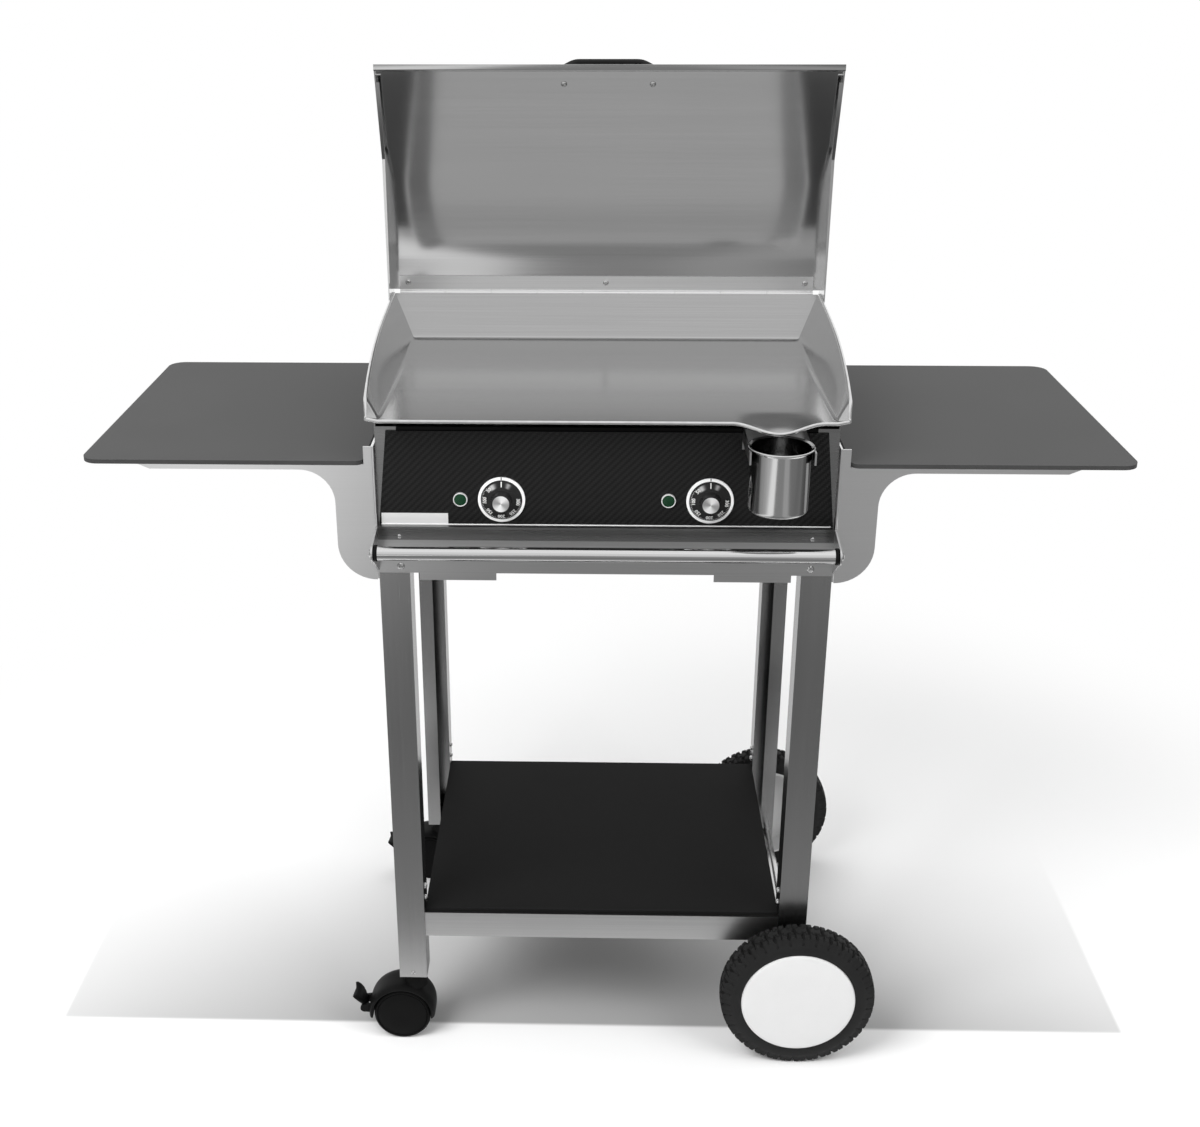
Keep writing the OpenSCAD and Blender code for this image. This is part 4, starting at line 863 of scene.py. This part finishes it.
def makeCup(s):
    # Up the outside from the middle of the foot, over the rolled rim and down the inside.
    z0, z1, r, w, bead, foot = s["rimZ"] - s["tall"], s["rimZ"], s["r"], s["wall"], s["bead"], s["foot"]
    a = np.radians(np.linspace(-90, 90, 8))
    rim = np.stack([s["rim"] - bead + bead * np.cos(a), z1 - bead + bead * np.sin(a)], -1)
    low = np.radians(np.linspace(-90, 0, 7))
    corner = np.stack([r - 0.0045 + foot * np.cos(low), z0 + foot + foot * np.sin(low)], -1)
    rise = np.stack([np.full(10, r - 0.0003), np.linspace(z0 + 0.006, z1 - 0.0045, 10)], -1)
    inside = [[r - w, z1 - bead], [r - w, z0 + 0.006], [r - w - 0.004, z0 + w + 0.001], [0, z0 + w + 0.001]]
    profile = np.concatenate([
        [[0, z0 + 0.0006], [r - 0.009, z0 + 0.0004]], corner, rise, [[r + 0.0008, z1 - 0.0026]], rim, inside])
    p, f = spun(profile, 128)
    return p + (s["x"], s["y"], 0), f


addPiece("greaseCup", *makeCup(cupSet), "cupSteel", "grease cup", ["grease_cup"], sharp=30)
print("cup made")


wheelSet = {
    "x": 0.255, "z": 0.100, "gap": 0.0045, "r": 0.0998, "wide": 0.040, "rim": 0.0735, "front": -0.179, "rear": 0.228,
    "wall": ((0, 0.0015), (0.004, 0.0), (0.010, 0.0006), (0.0145, 0.0022)),  # out from the rim, and inwards
    "wallTop": (0.0090, 0.0040), "shoulder": (0.0058, 0.0046), "treadFrom": 0.0055,
    "crown": 0.0045, "crownCurve": 3.2, "slant": 0.12, "grooved": (0.012, 0.004), "perBlock": 14,
    "blocks": 34, "deep": 0.0040, "ringAt": 0.30, "ringZig": 0.07, "ringWide": 0.045,
    "slotHalf": 0.10, "slotEdge": 0.03, "shortHalf": 0.055, "shortEdge": 0.025, "shortDeep": 0.45,
    "disc": ((0, 0.0029), (0.25, 0.0028), (0.5, 0.0024), (0.75, 0.0017)),  # share of the rim, and crown
    "discEdge": ((0.005, 0.0008), (0.0022, 0.0004), (0.0010, -0.0002), (0.0003, -0.0016), (0, -0.004)),
    "shell": 0.004, "skirtEnd": 0.0005, "boss": 0.015, "bore": 0.0062, "boreEnd": 0.005,
}


def onWheel(s, toward, points, faces):
    # Puts a shape made about Z on the axle's front or rear end.
    seat = s["front"] - s["gap"] if toward == "front" else s["rear"] + s["gap"]
    return facing(points, (s["x"], seat, s["z"]), toward), faces


def makeTyre(s, toward):
    # The tread is a radius lowered by a groove pattern: two zigzag rings and slots that step from row to row.
    r, wide, rim = s["r"], s["wide"], s["rim"]
    wall = [(rim + out, inwards) for out, inwards in s["wall"]] + [(r - s["wallTop"][0], s["wallTop"][1])]
    wall, shoulder = np.array(wall), np.array([(r - s["shoulder"][0], s["shoulder"][1])])
    w = np.linspace(s["treadFrom"], wide - s["treadFrom"], 40)
    tread = np.stack([r - s["crown"] * (abs(w - wide / 2) / (wide / 2)) ** s["crownCurve"], w], -1)
    across = ((1, -1), (0, wide))
    profile = np.concatenate([
        wall, shoulder, tread, shoulder * across[0] + across[1], (wall * across[0] + across[1])[::-1]])

    def wave(angle, profile):
        # w runs from -1 to 1 across the tread, and turn counts the blocks
        w = (profile[:, 1][None] - wide / 2) / (wide / 2)
        turn = angle * s["blocks"] / (2 * np.pi)
        zig = s["ringAt"] + s["ringZig"] * np.where((turn * 2) % 1 < 0.5, 1, -1)
        ring = np.exp(-((abs(w) - zig) / s["ringWide"]) ** 2)
        row = np.where(abs(w) < zig, 0.5, 0.0) + s["slant"] * w
        slot = np.clip((s["slotHalf"] - abs((turn + row) % 1 - 0.5)) / s["slotEdge"], 0, 1)
        half = np.clip((s["shortHalf"] - abs((turn + row + 0.5) % 1 - 0.5)) / s["shortEdge"], 0, 1)
        half = half * s["shortDeep"] * (abs(w) > zig)
        below, fade = s["grooved"]
        onTread = np.clip((abs(profile[:, 0][None]) - (r - below)) / fade, 0, 1)
        return -s["deep"] * np.maximum.reduce([ring, slot, half]) * onTread

    steps = s["blocks"] * s["perBlock"]
    bore = spun([(rim, wide - 0.0015), (rim, 0.0015)], steps)
    return onWheel(s, toward, *joined([spun(profile, steps, wave), bore]))


def makeHub(s, toward):
    # A crowned disc that turns in at its rim, hollow behind, with a boss round the axle.
    wide, rim = s["wide"], s["rim"]
    crown = [(rim * share, wide + high) for share, high in s["disc"]]
    edge = [(rim - inwards, wide + high) for inwards, high in s["discEdge"]]
    inside, bore, end = wide - s["shell"], s["bore"], wide - s["boreEnd"]
    back = [(rim, s["skirtEnd"]), (rim - 0.003, s["skirtEnd"]), (rim - s["shell"], inside), (s["boss"], inside),
            (s["boss"] - 0.001, 0.0), (bore, 0.0), (bore, end), (0, end)]
    return onWheel(s, toward, *spun(crown + edge + back, 160))


for name in ("front", "rear"):
    body = "wheel " + name
    addPiece("tyre_" + name, *makeTyre(wheelSet, name), "tyreRubber", body, ["tyre_" + name], sharp=32)
    addPiece("disc_" + name, *makeHub(wheelSet, name), "whitePlastic", body, ["hub_" + name], sharp=40)
print("wheels made")


ringSet = {
    "out": 0.0273, "in": 0.0240, "thick": 0.0025,
    "lamp": -0.0477, "bezel": 0.0084, "bead": 0.0007, "lens": 0.0075, "stand": 0.003, "dome": 0.0012,
    "ripples": 12, "ripple": 0.00018,
}


def atDials(d, points, faces, shift=0.0):
    # The same shape on the panel at both dials, or beside them.
    places = [(side * d["x"] + shift, d["panel"], d["z"]) for side in sides.values()]
    return joined([(facing(points, place), faces) for place in places])


def makeRings(s, d):
    # White rings round the dials, with a soft outer edge.
    top, inner, outer = s["thick"], s["in"], s["out"]
    profile = [(inner, 0), (outer, 0), (outer, top - 0.0008), (outer - 0.0003, top - 0.0002),
               (outer - 0.0009, top), (inner + 0.0003, top), (inner, top - 0.0003), (inner, 0)]
    return atDials(d, *spun(profile, 96))


def makeBezels(s, d):
    # A short tube round each lamp, rolled over at its front.
    a = np.radians(np.linspace(-10, 190, 10))
    centre = np.array([s["bezel"], s["stand"]]) - s["bead"]
    bead = centre + s["bead"] * np.stack([np.cos(a), np.sin(a)], -1)
    lens = s["lens"]
    profile = np.concatenate([[(lens, 0.001), (lens, 0), (s["bezel"], 0)], bead, [(lens, 0.001)]])
    return atDials(d, *spun(profile, 48), s["lamp"])


def makeLenses(s, d):
    # A low dome whose height ripples with the angle and the radius, as moulded lamp lenses do.
    edge = s["lens"] - 0.0001
    r = np.linspace(0, edge, 14)
    dome = np.stack([r, s["stand"] - 0.0004 + s["dome"] * (1 - (r / s["lens"]) ** 2)], -1)[::-1]
    p, f = spun(np.concatenate([[(0, 0.0004), (edge, 0.0004)], dome]), 48)
    turn = np.arctan2(p[:, 1], p[:, 0])
    away = np.hypot(p[:, 0], p[:, 1]) / s["lens"]
    onTop = p[:, 2] > 0.001
    p[:, 2] += onTop * s["ripple"] * np.cos(s["ripples"] * turn) * away * (1 - away ** 4)
    return atDials(d, p, f, s["lamp"])


def makeCap(s, x):
    # A turned disc: a raised rim, a shallow cone and fine rings.
    top, edge = s["gap"] + s["skirtThick"] + s["knobLong"], s["cap"]
    r = np.linspace(0, edge - 0.0008, 40)
    face = np.stack([r, top - 0.0006 + 0.0006 * r / edge + 0.00004 * np.sin(r * 9000)], -1)
    rim = [(edge - 0.0005, top), (edge - 0.0001, top - 0.0002), (edge, top - s["capSunk"]), (0, top - s["capSunk"])]
    p, f = spun(np.concatenate([face, rim]), 64)
    return facing(p, (x, s["panel"], s["z"])), f


addPiece("dialRings", *makeRings(ringSet, dialSet), "ringWhite", "trolley", ["dial_rings"])
addPiece("lampBezels", *makeBezels(ringSet, dialSet), "brightTrim", "trolley", ["lamp_bezels"])
addPiece("lampLenses", *makeLenses(ringSet, dialSet), "lampGreen", "trolley", ["lamp_lenses"], sharp=60)
for name, side in sides.items():
    cap = makeCap(dialSet, side * dialSet["x"])
    addPiece("cap_" + name, *cap, "spunCap" + name.title(), "dial " + name, ["knob_cap_" + name], sharp=50)
print("rings, lamps and caps made")


casterSet = {
    "x": -0.264, "z": 0.038, "front": -0.161, "rear": 0.210, "wide": 0.045,
    "hood": 0.0455, "inner": 0.0397, "rib": 0.0024, "ribR": 0.0405, "pin": 0.002, "pinHalf": 0.010,
    "hoodTurn": (-6, 186), "hoodCrown": 0.0035, "hoodEdge": 0.0050, "hoodThin": 0.05, "ribTurn": (-7, 187),
    "stem": 0.017, "stemR": 0.0126, "foot": 0.0976, "pinR": 0.0054, "pinTop": 0.1175,
    "pivot": (-0.052, 0.003), "ear": (0.0084, 0.0124), "earR": 0.0055, "earRoot": -0.0402, "earRise": 0.002,
    # the wheel's outer face and tread, as radii and how far in from the face
    "face": ((0, 0.0009), (0.004, 0.0008), (0.012, 0.0004), (0.022, 0.0006), (0.029, 0.0014), (0.0325, 0.0022),
             (0.0332, 0.0030), (0.0338, 0.0022), (0.0350, 0.0014), (0.0366, 0.0024), (0.0376, 0.0042),
             (0.038, 0.0065)),
    # its inner side, as radii and distances from the caster's middle
    "back": ((0.038, 0.0075), (0.0374, 0.0052), (0.0360, 0.0036), (0.033, 0.0033), (0.0046, 0.0033)),
    "neck": ((0, 0.078), (0.0175, 0.078), (0.0152, 0.084), (0.0136, 0.0905), (0.0130, 0.0950)),
    "stub": ((0, -0.0195), (0.0038, -0.0195), (0.004, -0.019), (0.004, 0.019), (0.0038, 0.0195), (0, 0.0195)),
    # the pedal's path in X and Z from the wheel's centre, with its thickness and half width
    "pedal": ((-0.0535, -0.0040, 0.0014, 0.0062), (-0.0531, -0.0018, 0.0034, 0.0076),
              (-0.0524, 0.0025, 0.0046, 0.0079), (-0.0530, 0.0075, 0.0044, 0.0080),
              (-0.0546, 0.0125, 0.0036, 0.0128), (-0.0570, 0.0170, 0.0030, 0.0158),
              (-0.0604, 0.0210, 0.0026, 0.0168), (-0.0640, 0.0240, 0.0022, 0.0166),
              (-0.0662, 0.0250, 0.0012, 0.0150)),
    "dish": 0.0030,
}


def prism(outline, y0, y1):
    # An outline in X and Z carried straight from one Y to another.
    outline = np.asarray(outline, float)
    n = len(outline)
    ends = [np.stack([outline[:, 0], np.full(n, y), outline[:, 1]], -1) for y in (y0, y1)]
    faces = [(i, (i + 1) % n, n + (i + 1) % n, n + i) for i in range(n)]
    return np.concatenate(ends), faces + [tuple(range(n))[::-1], tuple(range(n, 2 * n))]


def makeCasterWheels(s, y):
    # Two wheels back to back, turned from the same profile.
    half = s["wide"] / 2
    hub = [(0.0046, half - 0.0025), (0, half - 0.0025)]
    p, f = spun([(r, half - inwards) for r, inwards in s["face"]] + [*s["back"], *hub], 96)
    return joined([(facing(p, (s["x"], y, s["z"]), way), f) for way in ("front", "rear")])


def makeHood(s, y):
    # A crowned band carried round the wheels, on a rib, with a flared neck, the axle's stubs and two ears.
    half, steps = s["wide"] / 2, 60
    turn = np.radians(np.linspace(*s["hoodTurn"], steps))[:, None]
    u = np.linspace(-1, 1, 17)
    top = np.stack([u * half, s["hood"] - s["hoodCrown"] * abs(u) ** 5], -1)
    under = np.stack([-u[1:-1] * (half - 0.0006), np.full(15, s["inner"])], -1)
    section = np.concatenate([
        top, [(half, s["hood"] - s["hoodEdge"]), (half - 0.0004, s["inner"])], under,
        [(0.0004 - half, s["inner"]), (-half, s["hood"] - s["hoodEdge"])]])
    across, out = section[:, 0][None], section[:, 1][None]
    thin = 1 - s["hoodThin"] * np.clip(1 - turn / 0.9, 0, 1)  # nearer to the wheels at its right-hand end
    r = np.where(out > s["inner"] + 0.0001, out * thin, out)
    x, z = s["x"] + r * np.cos(turn), s["z"] + r * np.sin(turn)
    band = np.stack([x, y + across + 0 * r, z], -1).reshape(-1, 3), rodFaces(steps, len(section))
    a = np.radians(np.linspace(*s["ribTurn"], 50))
    rib = np.stack([s["x"] + s["ribR"] * np.cos(a), s["z"] + s["ribR"] * np.sin(a)], -1)
    stem = [(s["stemR"], s["foot"]), (s["pinR"], s["foot"]), (s["pinR"], s["pinTop"]), (0, s["pinTop"])]
    neck, neckFaces = spun([*s["neck"], *stem], 40)
    stub, stubFaces = spun(s["stub"], 24)
    px, pz = s["pivot"]
    b = np.radians(np.linspace(90, 270, 16))
    root = [(s["earRoot"], pz - s["earR"]), (s["earRoot"], pz + s["earR"] + s["earRise"])]
    tip = np.stack([px + s["earR"] * np.cos(b), pz + s["earR"] * np.sin(b)], -1)
    ear = np.concatenate([tip, root]) + (s["x"], s["z"])
    near, far = s["ear"]
    pin = np.stack([s["x"] + px + s["pin"] * np.cos(b * 2), s["z"] + pz + s["pin"] * np.sin(b * 2)], -1)[:-1]
    return joined([
        band,
        prism(rib, y - s["rib"], y + s["rib"]),
        (neck + (s["x"] + s["stem"], y, 0), neckFaces),
        (facing(stub, (s["x"], y, s["z"])), stubFaces),
        prism(ear, y - near, y - far),
        prism(ear, y + near, y + far),
        prism(pin, y - s["pinHalf"], y + s["pinHalf"]),
    ])


def makeLever(s, y):
    # A pedal carried up a curved path, narrow between the ears and wide at its dished lip.
    table = np.array(s["pedal"])
    last = len(table) - 1
    i = np.linspace(0, last, 33)
    x, z, thick, half = (np.interp(i, range(last + 1), column) for column in table.T)
    ahead = np.stack([np.gradient(x), np.gradient(z)], -1)
    ahead /= np.linalg.norm(ahead, axis=1, keepdims=True)
    a = np.radians(np.arange(0, 360, 15))
    sx = np.sign(np.cos(a)) * abs(np.cos(a)) ** 0.5
    st = np.sign(np.sin(a)) * abs(np.sin(a)) ** 0.6
    dish = s["dish"] * (i[:, None] / last) ** 2 * (1 - sx[None] ** 2)
    px = s["x"] + x[:, None] + st[None] * thick[:, None] * ahead[:, 1:] + dish * 0.8
    pz = s["z"] + z[:, None] - st[None] * thick[:, None] * ahead[:, :1] - dish
    py = y + sx[None] * half[:, None] + 0 * px
    return np.stack([px, py, pz], -1).reshape(-1, 3), rodFaces(len(i), len(a))


for name in ("front", "rear"):
    y, body = casterSet[name], "caster " + name
    wheels, hood, lever = (make(casterSet, y) for make in (makeCasterWheels, makeHood, makeLever))
    addPiece("casterWheels_" + name, *wheels, "casterRubber", body + " wheels", ["caster_wheels_" + name])
    addPiece("casterHood_" + name, *hood, "blackPlastic", body, ["caster_hood_" + name])
    addPiece("brakePedal_" + name, *lever, "blackPlastic", "brake " + name, ["brake_lever_" + name], sharp=50)
print("casters made")


barSet = {"half": 0.260, "y": -0.220, "z": 0.7215, "r": 0.0083, "bore": 0.0068, "cap": 0.0096, "capLong": 0.0045}


def makeBar(s):
    # A tube turned about its own length, with a small round at each end.
    r, end, edge = s["r"], s["half"], 0.0004
    profile = [(s["bore"], -end), (r - edge, -end), (r, edge - end), *((r, v * end) for v in np.linspace(-0.9, 0.9, 9)),
               (r, end - edge), (r - edge, end), (s["bore"], end), (s["bore"], -end)]
    p, f = spun(profile, 48)
    return turned(p, "x") + (0, s["y"], s["z"]), f


def makeBarCaps(s):
    # A turned cap with a plug that goes into the tube, at each end.
    r, long = s["cap"], s["capLong"]
    cap = spun([(0, 0), (r - 0.0006, 0), (r, 0.0006), (r, long - 0.0014), (r - 0.0005, long - 0.0005),
                (r - 0.0015, long), (0, long)], 40)
    plug = spun([(0, -0.008), (s["bore"], -0.008), (s["bore"], 0), (0, 0)], 40)
    p, f = joined([cap, plug])
    ends = ((s["half"], "x"), (-s["half"], "-x"))
    return joined([(turned(p, way) + (x, s["y"], s["z"]), f) for x, way in ends])


creaseSet = {"r": 0.0011, "inset": 0.002, "taper": 0.001, "sunk": (0.9, 0.2)}


def makeCrease(s):
    # A fine rounded fold along the foot of the panel, from one side of the casing to the other. Its near-white finish
    # is a painted highlight along the fold.
    low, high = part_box("control_panel")
    r, half = s["r"], high[0] - s["inset"]
    p, f = spun([(0, -half), (r, s["taper"] - half), (r, half - s["taper"]), (0, half)], 20)
    return turned(p, "x") + (0, low[1] - r * s["sunk"][0], low[2] - r * s["sunk"][1]), f


addPiece("towelBar", *makeBar(barSet), "barSteel", "trolley", ["towel_bar"])
addPiece("towelBarCaps", *makeBarCaps(barSet), "blackPlastic", "trolley", ["bar_caps"])
addPiece("panelFootHighlight", *makeCrease(creaseSet), "brightTrim", "trolley")
print("towel bar made")


stageSet = {
    "reach": 30.0,
    "patchX": (-0.735, 0.705), "patchY": (-0.150, 0.345), "edge": 0.004, "rearEdge": (0.15, 0.03),
    "halfWide": 0.75, "fade": 1.6, "dark": (0.30, 0.28), "paint": 0.97, "white": (0.85, 1.5),
    # what metal shows: tones, and where each begins and is full
    "front": 0.36, "dip": 0.16, "dipAt": (0.40, 1.20), "rise": 0.08, "riseAt": (1.35, 1.90),
    "left": 0.72, "leftAt": (-0.74, -0.52), "right": 0.14, "rightAt": (0.45, 0.75),
    "side": 0.18, "sideAt": (0.80, 1.30), "outerAt": (1.20, 1.55), "behindAt": (0.30, 0.60), "from": (0.24, 0.46),
}


def makeFloor(s):
    # White, with a grey patch that darkens towards the front and the middle.
    b = Board(bpy.data.materials.new("floorPaint"))
    x, y, z = b.axes(b.coords())
    (x0, x1), (y0, y1), edge = s["patchX"], s["patchY"], s["edge"]
    patch = x.step(x0 - edge, x0 + edge) * (1 - x.step(x1 - edge, x1 + edge))
    patch = patch * y.step(y0 - edge, y0 + edge) * (1 - y.step(y1 - s["rearEdge"][0], y1 + s["rearEdge"][1]))
    nearness = 1 - (y - y0) * (1 / (y1 - y0))
    centre = 1 - (x * (1 / s["halfWide"])) ** 2.0
    dark = (nearness.clip() ** s["fade"]) * (s["dark"][0] + centre.clip() * s["dark"][1])
    paint = b.node("ShaderNodeBsdfDiffuse", {}, {"Color": b.grey((1 - dark * patch).clip(), 0.0, s["paint"])})
    away = (x * x + y * y).maths("SQRT").step(*s["white"])
    seen = b.blend(away * b.ray("Camera"), paint, b.glow(grey(1.0)))
    # in mirrors: dim in front, pale at the left, white behind
    near, across = y * -1.0, x.size()
    left, right, behind = 1 - x.step(*s["leftAt"]), x.step(*s["rightAt"]), y.step(*s["behindAt"])
    front = s["front"] - near.step(*s["dipAt"]) * s["dip"] + near.step(*s["riseAt"]) * s["rise"]
    front = front + left * s["left"] + right * s["right"]
    side = across.step(*s["sideAt"]) * (1 - behind) * (1 - near.step(*s["behindAt"]))
    front = front * (1 - across.step(*s["outerAt"]) * 0.5)
    level = front + behind * (1 - front)
    level = level + side * (s["side"] - level)
    beyond = near.step(*s["from"]) + behind + side
    b.end(b.blend(beyond.clip() * b.mirrored(), seen, b.glow(b.grey(level, 0.0, 1.0))))
    r = s["reach"]
    mesh = bpy.data.meshes.new("floor")
    mesh.from_pydata([(-r, -r, 0), (r, -r, 0), (r, r, 0), (-r, r, 0)], [], [(0, 1, 2, 3)])
    floor = bpy.data.objects.new("floor", mesh)
    scene.collection.objects.link(floor)
    mesh.materials.append(b.owner)


makeFloor(stageSet)


worldSet = {
    "plain": 0.46,
    # what metal shows: tones, and where each begins and is full
    "room": 0.34, "behindAt": (-0.05, 0.35), "left": 0.12, "leftAt": (-0.60, -0.20), "right": -0.14,
    "rightAt": (0.20, 0.60), "up": 0.48, "upAt": (-0.10, 0.28), "over": 0.30, "overAt": (0.55, 0.90),
    "side": 0.20, "sideAt": (0.78, 0.94), "sideTop": (0.25, 0.60),
}


def makeWorld(s):
    # White to the camera. Metal shows a grey room that brightens upwards, and the white backdrop behind.
    scene.world = bpy.data.worlds.new("studio")
    b = Board(scene.world, "ShaderNodeOutputWorld")
    x, y, z = b.axes(b.coords("Generated"))
    left, right, behind = 1 - x.step(*s["leftAt"]), x.step(*s["rightAt"]), y.step(*s["behindAt"])
    room = s["room"] + left * s["left"] + right * s["right"]
    room = room + z.step(*s["upAt"]) * s["up"] + z.step(*s["overAt"]) * s["over"]
    side = x.size().step(*s["sideAt"]) * (1 - z.step(*s["sideTop"]))
    room = room + side * (s["side"] - room)
    mirror = behind * (1 - side) * (1 - room) + room
    seen, gloss = b.ray("Camera"), b.mirrored()
    level = seen + (1 - seen) * ((1 - gloss) * s["plain"] + gloss * mirror)
    b.end(b.node("ShaderNodeBackground", {}, {"Color": b.grey(level, 0.0, 1.0), "Strength": 1.0}))


makeWorld(worldSet)

lampSet = {
    "key": {"place": (-1.6, -1.7, 2.9), "aim": (0, 0, 0.7), "size": 1.7, "power": 84},
    "fill": {"place": (1.9, -1.4, 2.3), "aim": (0, 0, 0.7), "size": 1.8, "power": 30},
    "top": {"place": (0, 0.4, 3.2), "aim": (0, 0, 0.6), "size": 2.6, "power": 34},
}
for name, s in lampSet.items():
    data = bpy.data.lights.new(name, "AREA")
    data.shape = "SQUARE"
    data.size = s["size"]
    data.energy = s["power"]
    lamp = bpy.data.objects.new(name, data)
    lamp.location = s["place"]
    lamp.rotation_euler = (Vector(s["aim"]) - Vector(s["place"])).to_track_quat("-Z", "Y").to_euler()
    lamp.visible_glossy = False
    scene.collection.objects.link(lamp)
print("stage and lamps set")
